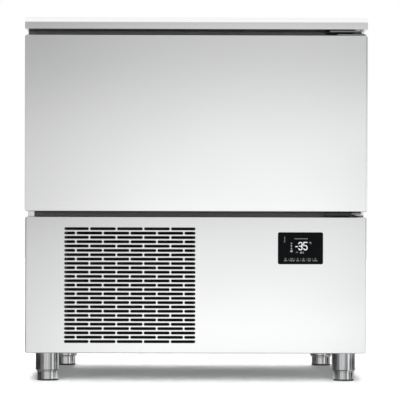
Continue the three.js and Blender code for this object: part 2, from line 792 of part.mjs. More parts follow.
// Two uprights against the liner with a folded Z runner at each tray level.
function rack() {
  const wall = chamberX - SEAT;
  const face = chamberX - RUNNER_STANDOFF;
  const front = linerFrontY + RACK_FRONT;
  const rear = deflectorY - RACK_REAR;
  const lowest = chamberFloor + RACK_FIRST;
  const top = lowest + (RACK_LEVELS - 1) * RACK_PITCH + RUNNER_HEIGHT + RUNNER_LIP / 2;
  const uprights = [front + UPRIGHT_END, rear - UPRIGHT_END].map((y) => block(
    wall - UPRIGHT_THICKNESS, wall,
    y - UPRIGHT_DEPTH / 2, y + UPRIGHT_DEPTH / 2,
    lowest - RUNNER_LIP, top,
  ));
  const runners = [];
  for (let level = 0; level < RACK_LEVELS; level += 1) {
    const z = lowest + level * RACK_PITCH;
    const section = polygon([
      [face - RUNNER_LIP, z],
      [face + RUNNER_SHEET, z],
      [face + RUNNER_SHEET, z + RUNNER_HEIGHT - RUNNER_SHEET],
      [wall - UPRIGHT_THICKNESS / 2, z + RUNNER_HEIGHT - RUNNER_SHEET],
      [wall - UPRIGHT_THICKNESS / 2, z + RUNNER_HEIGHT],
      [face, z + RUNNER_HEIGHT],
      [face, z + RUNNER_SHEET],
      [face - RUNNER_LIP, z + RUNNER_SHEET],
    ]);
    runners.push(alongY(section, front, rear));
  }
  return join(uprights[0], uprights[1], ...runners);
}

add('left_rack', mirrored(rack()), stainless);
add('right_rack', rack(), stainless);

// ---------------------------------------------------------------- fans

// An axial fan about Z: a bored hub from 0 to its length, with pitched blades.
function axialFan(radius) {
  const shaftHole = SHAFT_RADIUS + SEAT;
  const hub = turned([
    [shaftHole, 0],
    [FAN_HUB_RADIUS, 0],
    [FAN_HUB_RADIUS, FAN_HUB_LENGTH - SHAFT_RADIUS],
    [FAN_HUB_RADIUS - SHAFT_RADIUS, FAN_HUB_LENGTH],
    [shaftHole, FAN_HUB_LENGTH],
    [shaftHole, 0],
  ]);
  const root = FAN_HUB_RADIUS - SHAFT_RADIUS;
  const chord = FAN_HUB_RADIUS / 2;
  const outline = new THREE.Shape();
  outline.moveTo(root, -chord);
  outline.quadraticCurveTo(radius * 0.6, -2.6 * chord, radius * 0.97, -1.9 * chord);
  outline.absarc(0, 0, radius, -0.25, 0.35);
  outline.quadraticCurveTo(radius * 0.6, 1.2 * chord, root, chord);
  const blades = [];
  for (let k = 0; k < FAN_BLADES; k += 1) {
    const blade = extrude(outline, BLADE_THICKNESS, CURVE).translate(0, 0, -BLADE_THICKNESS / 2);
    blade.rotateX(FAN_PITCH).translate(0, 0, FAN_HUB_LENGTH / 2);
    blades.push(blade.rotateZ((k * 2 * Math.PI) / FAN_BLADES));
  }
  return join(hub, ...blades);
}

// A fan motor about Z behind its fan: can, shaft, and four arms with posts that reach the plate.
function fanMotor(fanRadius) {
  const plate = SEAT;
  const hubEnd = FAN_FRONT_SPACE + FAN_HUB_LENGTH;
  const canFront = hubEnd + FAN_TO_MOTOR;
  const can = turned([
    [0, FAN_FRONT_SPACE + SHAFT_RADIUS],
    [SHAFT_RADIUS, FAN_FRONT_SPACE + SHAFT_RADIUS],
    [SHAFT_RADIUS, canFront],
    [MOTOR_RADIUS, canFront],
    [MOTOR_RADIUS, canFront + MOTOR_LENGTH - SHAFT_RADIUS],
    [MOTOR_RADIUS - SHAFT_RADIUS, canFront + MOTOR_LENGTH],
    [0, canFront + MOTOR_LENGTH],
  ], SMALL_ROUND);
  const reach = fanRadius + ARM_REACH;
  const half = ARM_WIDTH / 2;
  const arms = [];
  for (let k = 0; k < 4; k += 1) {
    const arm = block(0, reach + half, -half, half, canFront + half, canFront + half + ARM_WIDTH);
    const post = block(reach - half, reach + half, -half, half, plate, canFront + ARM_WIDTH);
    const turn = Math.PI / 4 + (k * Math.PI) / 2;
    arms.push(arm.rotateZ(turn), post.rotateZ(turn));
  }
  return join(can, ...arms);
}

// Fan and motor stand behind a plate: local Z runs from the plate's back towards the rear.
function fanSet(prefix, radius, x, plateBackY, z) {
  const set = new THREE.Group();
  set.position.set(x, plateBackY, z);
  set.rotation.x = -Math.PI / 2;
  add(`${prefix}_fan_motor`, fanMotor(radius), blackPaint, set);
  add(`${prefix}_fan_blade`, axialFan(radius), aluminium, set).position.z = FAN_FRONT_SPACE;
  chiller.add(set);
}

fanSet('evaporator', EVAPORATOR_FAN_RADIUS, 0, deflectorBackY, chamberMidZ);
fanSet('condenser', CONDENSER_FAN_RADIUS, (condenserX0 + condenserX1) / 2, shroudRearY, condenserMidZ);

// ---------------------------------------------------------------- deflector and coils

function deflectorSlots() {
  const slots = [];
  const rows = Math.floor((GRILLE_RADIUS - GRILLE_SLOT) / GRILLE_ROW_PITCH);
  for (let row = -rows; row <= rows; row += 1) {
    const offset = row * GRILLE_ROW_PITCH;
    const half = Math.sqrt(GRILLE_RADIUS ** 2 - offset ** 2);
    const length = half - GRILLE_BRIDGE / 2;
    const middle = (half + GRILLE_BRIDGE / 2) / 2;
    for (const side of [-1, 1]) {
      slots.push(slot(side * middle, chamberMidZ + offset, length, GRILLE_SLOT));
    }
  }
  for (let k = 0; k < OUTLET_COUNT; k += 1) {
    const x = OUTLET_FIRST + k * OUTLET_PITCH;
    slots.push(slot(x, chamberMidZ, OUTLET_HEIGHT, OUTLET_WIDTH, true));
    slots.push(slot(-x, chamberMidZ, OUTLET_HEIGHT, OUTLET_WIDTH, true));
  }
  return slots;
}

function fanDeflector() {
  const plate = cut(
    alongY(chamberOutline(-SEAT), deflectorY, deflectorBackY),
    alongY(deflectorSlots(), deflectorY - SHEET, deflectorBackY + SHEET),
  );
  const edge = chamberX - SEAT;
  const low = chamberFloor + CHAMBER_CORNER;
  const high = chamberCeiling - CHAMBER_CORNER;
  const fold = block(edge - SHEET, edge, deflectorY, deflectorY + DEFLECTOR_FOLD, low, high);
  return join(plate, fold, mirrored(fold));
}

// A finned coil: upright fins between two rails, with return bends on its left end.
function finnedCoil(x0, x1, y0, y1, z0, z1, fins) {
  const pitch = (x1 - x0 - FIN) / fins;
  const spaces = [];
  for (let k = 0; k < fins; k += 1) {
    const from = x0 + FIN + k * pitch;
    const to = from + pitch - FIN;
    spaces.push(polygon([
      [from, z0 + COIL_RAIL],
      [to, z0 + COIL_RAIL],
      [to, z1 - COIL_RAIL],
      [from, z1 - COIL_RAIL],
    ]));
  }
  const core = cut(block(x0, x1, y0, y1, z0, z1), alongY(spaces, y0 - FIN, y1 + FIN));
  const y = (y0 + y1) / 2;
  const bends = [];
  for (let k = 0; k < RETURN_BENDS; k += 1) {
    const z = z0 + ((k + 1) * (z1 - z0)) / (RETURN_BENDS + 1);
    bends.push(returnBend(x0 + FIN / 2, y, z));
  }
  return join(core, ...bends);
}

// Half a turn of tube out of the coil's left end and back into it.
function returnBend(x, y, z) {
  const points = [];
  for (let k = 0; k <= 4; k += 1) {
    const turn = (k * Math.PI) / 4;
    const out = RETURN_BEND_RADIUS * Math.sin(turn);
    points.push([x - out, y, z - RETURN_BEND_RADIUS * Math.cos(turn)]);
  }
  return pipe(points, TUBE_RADIUS, 4);
}

function dripTray() {
  const x0 = drainX - drainHole - DRAIN_FLANGE - DRIP_TRAY_MARGIN;
  const x1 = coilX + DRIP_TRAY_MARGIN + SHEET;
  const y0 = coilFrontY - DRIP_TRAY_MARGIN;
  const y1 = coilRearY + DRIP_TRAY_MARGIN;
  const z1 = chamberStand + DRIP_TRAY_HEIGHT;
  const outside = block(x0, x1, y0, y1, chamberStand, z1);
  const inside = block(x0 + SHEET, x1 - SHEET, y0 + SHEET, y1 - SHEET, chamberStand + SHEET, z1 + SHEET);
  return cut(outside, inside, barZ(drainX, coilY, drainHole, chamberStand - SHEET, z1));
}

// A straight drain tube whose rim hangs in the drip tray.
function drainPipe() {
  const rim = chamberStand + SHEET + SEAT;
  const end = floorZ + SHEET + DRAIN_ABOVE_PAN;
  const bore = DRAIN_RADIUS - DRAIN_WALL;
  return turned([
    [bore, end],
    [DRAIN_RADIUS, end],
    [DRAIN_RADIUS, rim],
    [DRAIN_RADIUS + DRAIN_FLANGE, rim],
    [DRAIN_RADIUS + DRAIN_FLANGE, rim + SHEET],
    [bore, rim + SHEET],
    [bore, end],
  ], SMALL_ROUND);
}

function condensatePan() {
  const x0 = drainX - PAN_LENGTH / 2;
  const y0 = coilY - PAN_WIDTH / 2;
  const top = floorZ + PAN_HEIGHT;
  const outside = block(x0, x0 + PAN_LENGTH, y0, y0 + PAN_WIDTH, floorZ, top);
  const inside = block(
    x0 + SHEET, x0 + PAN_LENGTH - SHEET,
    y0 + SHEET, y0 + PAN_WIDTH - SHEET,
    floorZ + SHEET, top + SHEET,
  );
  return cut(outside, inside);
}

add('fan_deflector', fanDeflector(), stainless);
add(
  'evaporator_coil',
  finnedCoil(-coilX, coilX, coilFrontY, coilRearY, coilFloor, coilTop, EVAPORATOR_FINS),
  aluminium,
);
add('evaporator_drip_tray', dripTray(), stainless);
add('drain_pipe', drainPipe(), nylon).position.set(drainX, coilY, 0);
add('condensate_pan', condensatePan(), galvanised);
add(
  'condenser_coil',
  finnedCoil(
    condenserX0, condenserX1, condenserFrontY, condenserRearY, floorZ, condenserTop, CONDENSER_FINS,
  ),
  aluminium,
);

// A box that carries the condenser's air to the fan, with a round orifice in its rear wall.
function fanShroud() {
  const outside = block(condenserX0, condenserX1, shroudFrontY, shroudRearY, floorZ, condenserTop);
  const inside = block(
    condenserX0 + SHEET, condenserX1 - SHEET,
    shroudFrontY - SHEET, shroudRearY - SHEET,
    floorZ + SHEET, condenserTop - SHEET,
  );
  const orifice = barY(
    (condenserX0 + condenserX1) / 2, condenserMidZ,
    CONDENSER_FAN_RADIUS + SHROUD_ORIFICE_PLAY,
    shroudRearY - 2 * SHEET, shroudRearY + SHEET,
    2 * ROUND,
  );
  return cut(outside, inside, orifice);
}

add('condenser_fan_shroud', fanShroud(), galvanised);

// ---------------------------------------------------------------- compressor and receiver

function compressorShell() {
  const r = COMPRESSOR_RADIUS;
  const top = compressorBase + COMPRESSOR_HEIGHT;
  const dome = [];
  for (let k = 0; k <= 4; k += 1) {
    const turn = (k * Math.PI) / 8;
    dome.push([r * Math.cos(turn), top - r / 2 + (r / 2) * Math.sin(turn)]);
  }
  dome[4][0] = 0;
  const can = turned([[0, compressorFoot], [r * 0.7, compressorFoot], [r, compressorBase + r / 4], ...dome]);
  const halfX = COMPRESSOR_FOOT_LENGTH / 2;
  const halfY = COMPRESSOR_FOOT_WIDTH / 2;
  const foot = alongZ(roundedRect(-halfX, halfX, -halfY, halfY, GROMMET_RADIUS), compressorFoot, compressorBase);
  const stub = (y, height) => barX(
    y, compressorFoot + height, TUBE_RADIUS + SHEET, -r - STUB_LENGTH, 0, PIPE_SIDES,
  );
  return join(can, foot, stub(STUB_SPREAD, SUCTION_STUB_HEIGHT), stub(-STUB_SPREAD, DISCHARGE_STUB_HEIGHT));
}

// The cover over the compressor's terminals, its back hollowed to the shell's curve.
function terminalCover() {
  const mid = compressorBase + COMPRESSOR_HEIGHT / 2;
  const front = -COMPRESSOR_RADIUS - TERMINAL_DEPTH;
  const box = block(
    -TERMINAL_WIDTH / 2, TERMINAL_WIDTH / 2,
    front, -COMPRESSOR_RADIUS + TERMINAL_DEPTH,
    mid - TERMINAL_HEIGHT / 2, mid + TERMINAL_HEIGHT / 2,
  );
  return cut(box, barZ(0, 0, COMPRESSOR_RADIUS + 2 * SEAT, mid - TERMINAL_HEIGHT, mid + TERMINAL_HEIGHT, 2 * ROUND));
}

const compressor = new THREE.Group();
compressor.position.set(compressorX, compressorY, 0);
chiller.add(compressor);
add('compressor_shell', compressorShell(), blackPaint, compressor);
add('compressor_terminal_cover', terminalCover(), blackPlastic, compressor);

const grommetX = COMPRESSOR_FOOT_LENGTH / 2 - GROMMET_INSET;
const grommetY = COMPRESSOR_FOOT_WIDTH / 2 - GROMMET_INSET;
for (const [place, x, y] of [
  ['front_left', -grommetX, -grommetY],
  ['front_right', grommetX, -grommetY],
  ['rear_left', -grommetX, grommetY],
  ['rear_right', grommetX, grommetY],
]) {
  const grommet = turned([
    [0, 0],
    [GROMMET_RADIUS, 0],
    [GROMMET_RADIUS * 0.75, GROMMET_HEIGHT / 2],
    [GROMMET_RADIUS, GROMMET_HEIGHT],
    [0, GROMMET_HEIGHT],
  ], SMALL_ROUND);
  add(`compressor_grommet_${place}`, grommet, rubber, compressor).position.set(x, y, floorZ);
}

function liquidReceiver() {
  const r = RECEIVER_RADIUS;
  const round = r / 4;
  return turned([
    [0, 0],
    [r, 0],
    [r, RECEIVER_HEIGHT - round],
    [r - round, RECEIVER_HEIGHT],
    [0, RECEIVER_HEIGHT],
  ]);
}

// The drier lies along Y between its two necks.
function filterDrier() {
  const neck = LIQUID_RADIUS + SHEET;
  const drier = turned([
    [0, 0],
    [neck, 0],
    [DRIER_RADIUS, DRIER_NECK],
    [DRIER_RADIUS, DRIER_LENGTH - DRIER_NECK],
    [neck, DRIER_LENGTH],
    [0, DRIER_LENGTH],
  ], SMALL_ROUND);
  return drier.rotateX(Math.PI / 2).translate(RECEIVER_X, drierRearY, drierZ);
}

add('liquid_receiver', liquidReceiver(), blackPaint).position.set(RECEIVER_X, receiverY, floorZ);

// ---------------------------------------------------------------- refrigerant lines

const suctionCoilZ = coilFloor + 2 * DRIP_TRAY_HEIGHT;
const valveZ = chamberFloor + VALVE_ABOVE_FLOOR;

function expansionValve() {
  const outletZ = valveZ + VALVE_HEIGHT - VALVE_RADIUS;
  const body = barZ(liquidX, coilY, VALVE_RADIUS, valveZ, valveZ + VALVE_HEIGHT);
  return join(body, barX(coilY, outletZ, TUBE_RADIUS, coilX + SEAT, liquidX, PIPE_SIDES));
}

function suctionPipe() {
  const endX = compressorStubX - SEAT;
  const endY = compressorY + STUB_SPREAD;
  const endZ = compressorFoot + SUCTION_STUB_HEIGHT;
  const under = deckUnder - PIPE_BEND_RUN;
  return pipe([
    [coilX + SEAT, coilY, suctionCoilZ],
    [coilX + SEAT + PIPE_BEND_RUN / 2, coilY, suctionCoilZ],
    [suctionX, coilY, suctionCoilZ - PIPE_BEND_RUN],
    [suctionX, coilY, chamberFloor],
    [suctionX, coilY, deckUnder],
    [suctionX - PIPE_BEND_RUN, coilY + PIPE_BEND_RUN, under],
    [(suctionX + endX) / 2, coilY + PIPE_BEND_RUN, under],
    [endX - PIPE_BEND_RUN, endY + 2 * PIPE_BEND_RUN, under - PIPE_BEND_RUN],
    [endX - PIPE_BEND_RUN, endY, endZ + PIPE_BEND_RUN],
    [endX - PIPE_BEND_RUN / 2, endY, endZ],
    [endX, endY, endZ],
  ], SUCTION_RADIUS, 2 * PIPE_STEPS);
}

function dischargePipe() {
  const startX = compressorStubX - SEAT;
  const startY = compressorY - STUB_SPREAD;
  const startZ = compressorFoot + DISCHARGE_STUB_HEIGHT;
  const endX = condenserX1 + SEAT;
  const endZ = condenserTop - 2 * COIL_RAIL;
  return pipe([
    [startX, startY, startZ],
    [startX - PIPE_BEND_RUN, startY, startZ],
    [startX - 1.5 * PIPE_BEND_RUN, startY - 2 * PIPE_BEND_RUN, startZ],
    [startX - 1.5 * PIPE_BEND_RUN, shroudRearY, startZ],
    [endX + 2 * PIPE_BEND_RUN, condenserRearY, endZ],
    [endX + PIPE_BEND_RUN, condenserY, endZ],
    [endX, condenserY, endZ],
  ], TUBE_RADIUS);
}

function condenserOutletPipe() {
  const startX = condenserX1 + SEAT;
  const startZ = floorZ + 2 * COIL_RAIL;
  const endY = receiverY - RECEIVER_RADIUS - SEAT;
  const endZ = floorZ + RECEIVER_INLET_HEIGHT;
  return pipe([
    [startX, condenserY, startZ],
    [startX + PIPE_BEND_RUN, condenserY, startZ],
    [startX + 2 * PIPE_BEND_RUN, condenserRearY, startZ],
    [RECEIVER_X, (condenserRearY + endY) / 2, endZ],
    [RECEIVER_X, endY - PIPE_BEND_RUN, endZ],
    [RECEIVER_X, endY, endZ],
  ], TUBE_RADIUS);
}

// The liquid line: receiver to drier and drier to valve, brazed to the drier's necks.
function liquidLine() {
  const overlap = DRIER_NECK / 2;
  const outletZ = receiverTop + SEAT;
  const driedY = drierRearY - DRIER_LENGTH;
  const high = deckUnder - PIPE_BEND_RUN;
  const outlet = pipe([
    [RECEIVER_X, receiverY, outletZ],
    [RECEIVER_X, receiverY, outletZ + PIPE_BEND_RUN / 2],
    [RECEIVER_X, (receiverY + drierRearY) / 2, drierZ],
    [RECEIVER_X, drierRearY, drierZ],
    [RECEIVER_X, drierRearY - overlap, drierZ],
  ], LIQUID_RADIUS);
  const supply = pipe([
    [RECEIVER_X, driedY + overlap, drierZ],
    [RECEIVER_X, driedY - PIPE_BEND_RUN, drierZ],
    [RECEIVER_X + 2 * PIPE_BEND_RUN, driedY - 2 * PIPE_BEND_RUN, high],
    [liquidX - PIPE_BEND_RUN, driedY - PIPE_BEND_RUN, high],
    [liquidX, (driedY + coilY) / 2, high],
    [liquidX, coilY - PIPE_BEND_RUN / 2, high],
    [liquidX, coilY, deckUnder],
    [liquidX, coilY, chamberFloor],
    [liquidX, coilY, valveZ - SEAT],
  ], LIQUID_RADIUS, 2 * PIPE_STEPS);
  return join(filterDrier(), outlet, supply);
}

add('expansion_valve', expansionValve(), brass);
add('suction_pipe', suctionPipe(), copper);
add('discharge_pipe', dischargePipe(), copper);
add('condenser_outlet_pipe', condenserOutletPipe(), copper);
add('liquid_line', liquidLine(), copper);

// ---------------------------------------------------------------- electrics

function electricalBox() {
  const top = deckUnder - SEAT;
  const front = cabinetFrontY + BOX_BEHIND_FRONT;
  const outside = block(
    boxX - BOX_WIDTH / 2, boxX + BOX_WIDTH / 2,
    front, front + BOX_DEPTH,
    top - BOX_HEIGHT, top,
  );
  const inside = block(
    boxX - BOX_WIDTH / 2 + SHEET, boxX + BOX_WIDTH / 2 - SHEET,
    front - SHEET, front + BOX_DEPTH - SHEET,
    top - BOX_HEIGHT + SHEET, top - SHEET,
  );
  return cut(outside, inside);
}

// The lid covers the front of the box and its rim slides over the box's walls.
function electricalBoxLid() {
  const top = deckUnder - SEAT;
  const front = cabinetFrontY + BOX_BEHIND_FRONT;
  const half = BOX_WIDTH / 2 - SHEET - SEAT;
  const plate = block(
    boxX - BOX_WIDTH / 2, boxX + BOX_WIDTH / 2,
    front - SHEET - SEAT, front - SEAT,
    top - BOX_HEIGHT, top,
  );
  const plug = block(
    boxX - half, boxX + half,
    front - 2 * SEAT, front + BOX_LID,
    top - BOX_HEIGHT + SHEET + SEAT, top - SHEET - SEAT,
  );
  const hollow = block(
    boxX - half + SHEET, boxX + half - SHEET,
    front, front + 2 * BOX_LID,
    top - BOX_HEIGHT + 2 * SHEET + SEAT, top - 2 * SHEET - SEAT,
  );
  return cut(join(plate, plug), hollow);
}

add('electrical_box', electricalBox(), galvanised);
add('electrical_box_lid', electricalBoxLid(), galvanised);

// ---------------------------------------------------------------- door

const door = new THREE.Group();
chiller.add(door);

const foamInset = SHEET + SEAT;
const innerSkinY = doorBackY - SHEET; // front of the inner skin
const gripFrontY = frontY + GRIP_BEHIND_FACE;
const gripRearY = gripFrontY + GRIP_WIDTH;
const gripX = -doorX + SHEET + SEAT;
const gripFloorX = -doorX + GRIP_DEPTH;
const bushHole = bushRadius + SEAT;
const upperPlateZ = doorTop + SEAT;

function doorOuterSkin() {
  const back = innerSkinY - SEAT;
  const outline = roundedRect(-doorX, doorX, doorBottom, doorTop, DOOR_CORNER);
  const hollow = block(
    -doorX + SHEET, doorX - SHEET,
    frontY + SHEET, doorBackY,
    doorBottom + SHEET, doorTop - SHEET,
  );
  const gripWindow = block(
    -doorX - SHEET, -doorX + 2 * SHEET,
    gripFrontY, gripRearY,
    doorBottom + GRIP_END, doorTop - GRIP_END,
  );
  return cut(
    alongY(outline, frontY, back),
    hollow,
    gripWindow,
    barZ(hingeX, hingeY, bushHole, doorBottom - SHEET, doorBottom + 2 * SHEET),
    barZ(hingeX, hingeY, bushHole, doorTop - 2 * SHEET, doorTop + SHEET),
  );
}

// The finger groove is a channel set in the free edge, behind the skin's window.
function gripProfile() {
  const section = polygon([
    [gripX, gripFrontY - GRIP_WALL],
    [gripFloorX + GRIP_WALL, gripFrontY - GRIP_WALL],
    [gripFloorX + GRIP_WALL, gripRearY + GRIP_WALL],
    [gripX, gripRearY + GRIP_WALL],
    [gripX, gripRearY],
    [gripFloorX, gripRearY],
    [gripFloorX, gripFrontY],
    [gripX, gripFrontY],
  ]);
  return alongZ(section, doorBottom + foamInset, doorTop - foamInset);
}

function doorInsulation() {
  const low = doorBottom + foamInset;
  const high = doorTop - foamInset;
  const bulk = block(
    -doorX + foamInset, doorX - foamInset,
    frontY + foamInset, innerSkinY - SEAT,
    low, high,
  );
  const grip = block(
    -doorX, gripFloorX + GRIP_WALL + SEAT,
    gripFrontY - GRIP_WALL - SEAT, gripRearY + GRIP_WALL + SEAT,
    low - SHEET, high + SHEET,
  );
  return cut(
    bulk,
    grip,
    barZ(hingeX, hingeY, bushHole, doorTop - PIN_DEPTH - BUSH_WALL, doorTop),
    barZ(hingeX, hingeY, bushHole, doorBottom, doorBottom + PIN_DEPTH + BUSH_WALL),
  );
}

function doorInnerSkin() {
  const gasketX = doorX - GASKET_INSET_X - GASKET_WIDTH - PLATEAU_MARGIN;
  const low = doorBottom + GASKET_INSET_Z + GASKET_WIDTH + PLATEAU_MARGIN;
  const high = doorTop - GASKET_INSET_Z - GASKET_WIDTH - PLATEAU_MARGIN;
  const bump = (inset, y0, y1) => alongY(
    roundedRect(-gasketX + inset, gasketX - inset, low + inset, high - inset, GASKET_CORNER - inset), y0, y1,
  );
  const sheet = alongY(
    roundedRect(-doorX + SEAT, doorX - SEAT, doorBottom + SEAT, doorTop - SEAT, DOOR_CORNER),
    innerSkinY, doorBackY,
  );
  const raised = join(sheet, bump(0, innerSkinY, doorBackY + PLATEAU_RISE));
  return cut(raised, bump(SHEET, innerSkinY - SHEET, doorBackY + PLATEAU_RISE - SHEET));
}

// A ring round the opening: a narrow root on the door and a wide magnetic lip in front of it.
function doorGasket() {
  const ring = (inset, width) => {
    const reach = inset + width;
    const outline = roundedRect(
      -doorX + GASKET_INSET_X + inset, doorX - GASKET_INSET_X - inset,
      doorBottom + GASKET_INSET_Z + inset, doorTop - GASKET_INSET_Z - inset,
      GASKET_CORNER + GASKET_WIDTH - inset,
    );
    outline.holes.push(roundedRect(
      -doorX + GASKET_INSET_X + reach, doorX - GASKET_INSET_X - reach,
      doorBottom + GASKET_INSET_Z + reach, doorTop - GASKET_INSET_Z - reach,
      GASKET_CORNER + GASKET_WIDTH - reach,
    ));
    return outline;
  };
  const near = doorBackY + SEAT;
  const step = near + GASKET_ROOT_DEPTH;
  const rootInset = (GASKET_WIDTH - GASKET_ROOT) / 2;
  return join(
    alongY(ring(rootInset, GASKET_ROOT), near, step),
    alongY(ring(0, GASKET_WIDTH), step, near + GASKET_THICKNESS),
  );
}

// The hinge plate on the door's upper end, with its inner end slanted.
function doorPlate() {
  const right = doorX - SHEET - SEAT - FOLD;
  const left = right - DOOR_PLATE_LENGTH;
  const front = hingeY - DOOR_PLATE_FRONT;
  const back = hingeY + DOOR_PLATE_BACK;
  const top = upperPlateZ + DOOR_PLATE_THICKNESS;
  const outline = polygon([[left + BRACKET_SLANT, front], [right, front], [right, back], [left, back]]);
  const plate = alongZ(outline, upperPlateZ, top);
  return cut(plate, barZ(hingeX, hingeY, bushHole, upperPlateZ - SHEET, top + SHEET));
}

// A flanged bush about Z: the flange is at the outer end of the sleeve.
function hingeBush(sleeveLow, sleeveHigh, flangeLow, flangeHigh) {
  const up = flangeHigh > sleeveHigh;
  const rim = bushRadius + BUSH_FLANGE;
  const profile = up
    ? [[boreRadius, sleeveLow], [bushRadius, sleeveLow], [bushRadius, flangeLow], [rim, flangeLow],
      [rim, flangeHigh], [boreRadius, flangeHigh], [boreRadius, sleeveLow]]
    : [[boreRadius, flangeLow], [rim, flangeLow], [rim, flangeHigh], [bushRadius, flangeHigh],
      [bushRadius, sleeveHigh], [boreRadius, sleeveHigh], [boreRadius, flangeLow]];
  return turned(profile, SMALL_ROUND);
}

const upperFlangeLow = upperPlateZ + DOOR_PLATE_THICKNESS + SEAT;
const upperFlangeHigh = upperFlangeLow + UPPER_FLANGE_HEIGHT;
const lowerFlangeHigh = doorBottom - SEAT;
const lowerFlangeLow = lowerFlangeHigh - BUSH_FLANGE_HEIGHT;

add('door_outer_skin', doorOuterSkin(), stainless, door);
add('door_grip_profile', gripProfile(), stainless, door);
add('door_insulation', doorInsulation(), foam, door);
add('door_inner_skin', doorInnerSkin(), stainless, door);
add('door_gasket', doorGasket(), rubber, door);
add('upper_door_hinge_plate', doorPlate(), stainless, door);
add(
  'upper_hinge_bush',
  hingeBush(doorTop - PIN_DEPTH, upperFlangeLow, upperFlangeLow, upperFlangeHigh),
  nylon,
  door,
).position.set(hingeX, hingeY, 0);
add(
  'lower_hinge_bush',
  hingeBush(lowerFlangeHigh, doorBottom + PIN_DEPTH, lowerFlangeLow, lowerFlangeHigh),
  nylon,
  door,
).position.set(hingeX, hingeY, 0);

// ---------------------------------------------------------------- hinge on the cabinet

const upperBracketLow = upperFlangeHigh + SEAT;
const upperBracketHigh = upperBracketLow + BRACKET_THICKNESS;
const lowerBracketHigh = lowerFlangeLow - SEAT;
const lowerBracketLow = lowerBracketHigh - BRACKET_THICKNESS;

// A plate that reaches forward from the cabinet to the pin, with an upright edge on the cabinet.
function hingeBracket(low, high, edgeLow, edgeHigh) {
  const right = hingeX + BRACKET_END;
  const left = right - BRACKET_LENGTH;
  const back = cabinetFrontY - SEAT;
  const front = hingeY - BRACKET_FRONT;
  const outline = polygon([[left + BRACKET_SLANT, front], [right, front], [right, back], [left, back]]);
  const edge = block(left, right, back - FOLD, back, edgeLow, edgeHigh);
  const drill = barZ(hingeX, hingeY, boreRadius, low - SHEET, high + SHEET);
  return cut(join(alongZ(outline, low, high), edge), drill);
}

// A pin about Z with a head at one end of its length.
function hingePin(low, high, headLow, headHigh) {
  const profile = headHigh >= high
    ? [[0, low], [PIN_RADIUS, low], [PIN_RADIUS, headLow], [PIN_HEAD_RADIUS, headLow],
      [PIN_HEAD_RADIUS, headHigh], [0, headHigh]]
    : [[0, headLow], [PIN_HEAD_RADIUS, headLow], [PIN_HEAD_RADIUS, headHigh], [PIN_RADIUS, headHigh],
      [PIN_RADIUS, high], [0, high]];
  return turned(profile, SMALL_ROUND);
}

const upperHeadLow = upperBracketHigh + SEAT;
const upperHeadHigh = upperHeadLow + PIN_HEAD;
const lowerHeadHigh = lowerBracketLow - SEAT;
const lowerHeadLow = lowerHeadHigh - PIN_HEAD;

add(
  'upper_hinge_bracket',
  hingeBracket(upperBracketLow, upperBracketHigh, upperBracketLow, upperBracketHigh),
  stainless,
);
add(
  'lower_hinge_bracket',
  hingeBracket(lowerBracketLow, lowerBracketHigh, lowerHeadLow, lowerBracketHigh),
  stainless,
);
add(
  'upper_hinge_pin',
  hingePin(doorTop - PIN_DEPTH + FOLD, upperHeadLow, upperHeadLow, upperHeadHigh),
  polished,
).position.set(hingeX, hingeY, 0);
add(
  'lower_hinge_pin',
  hingePin(lowerHeadHigh, doorBottom + PIN_DEPTH - FOLD, lowerHeadLow, lowerHeadHigh),
  polished,
).position.set(hingeX, hingeY, 0);

export default chiller;
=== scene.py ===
"""Looks of the undercounter blast chiller, dressed over its CAD frame.

Metres, +Z up, +X to the right, front towards -Y. Places come from the CAD nodes' boxes, and what
the boxes don't say from the named sizes of each section.
"""

import json
import math
from functools import partial

import bmesh
import bpy
from mathutils import Euler, Matrix, Vector


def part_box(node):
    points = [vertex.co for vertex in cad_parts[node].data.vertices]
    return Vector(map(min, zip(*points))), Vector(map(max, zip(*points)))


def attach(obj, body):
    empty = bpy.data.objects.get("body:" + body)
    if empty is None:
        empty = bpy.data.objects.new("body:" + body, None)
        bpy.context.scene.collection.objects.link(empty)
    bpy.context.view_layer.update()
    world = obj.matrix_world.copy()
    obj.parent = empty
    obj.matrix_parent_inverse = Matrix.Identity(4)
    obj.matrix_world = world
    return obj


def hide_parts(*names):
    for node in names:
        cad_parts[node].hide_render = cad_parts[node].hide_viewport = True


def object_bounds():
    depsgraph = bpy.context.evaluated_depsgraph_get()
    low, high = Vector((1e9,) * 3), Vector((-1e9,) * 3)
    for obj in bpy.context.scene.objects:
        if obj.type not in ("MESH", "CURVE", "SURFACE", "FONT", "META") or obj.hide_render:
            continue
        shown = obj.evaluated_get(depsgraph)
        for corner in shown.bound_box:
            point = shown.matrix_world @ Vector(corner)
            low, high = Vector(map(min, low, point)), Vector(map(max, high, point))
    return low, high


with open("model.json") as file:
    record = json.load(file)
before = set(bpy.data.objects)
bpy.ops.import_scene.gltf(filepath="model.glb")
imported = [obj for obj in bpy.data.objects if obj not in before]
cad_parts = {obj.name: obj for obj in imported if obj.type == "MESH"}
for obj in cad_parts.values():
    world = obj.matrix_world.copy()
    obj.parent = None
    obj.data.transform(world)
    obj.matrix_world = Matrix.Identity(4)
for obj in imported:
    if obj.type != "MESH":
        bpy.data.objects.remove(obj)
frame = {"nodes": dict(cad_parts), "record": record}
cad_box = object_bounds()
nodes = frame["nodes"]

MM = 0.001
SEAT = 0.3 * MM

# ------------------------------------------------------------------ camera

LENS_MM = 264.7
SENSOR_MM = 36.0
CAMERA_PLACE = Vector((-0.057, -7.24, 0.424))
CAMERA_YAW = math.radians(0.55)  # turned towards +X
CAMERA_ROLL = math.radians(0.14)  # the right side sits lower in the picture


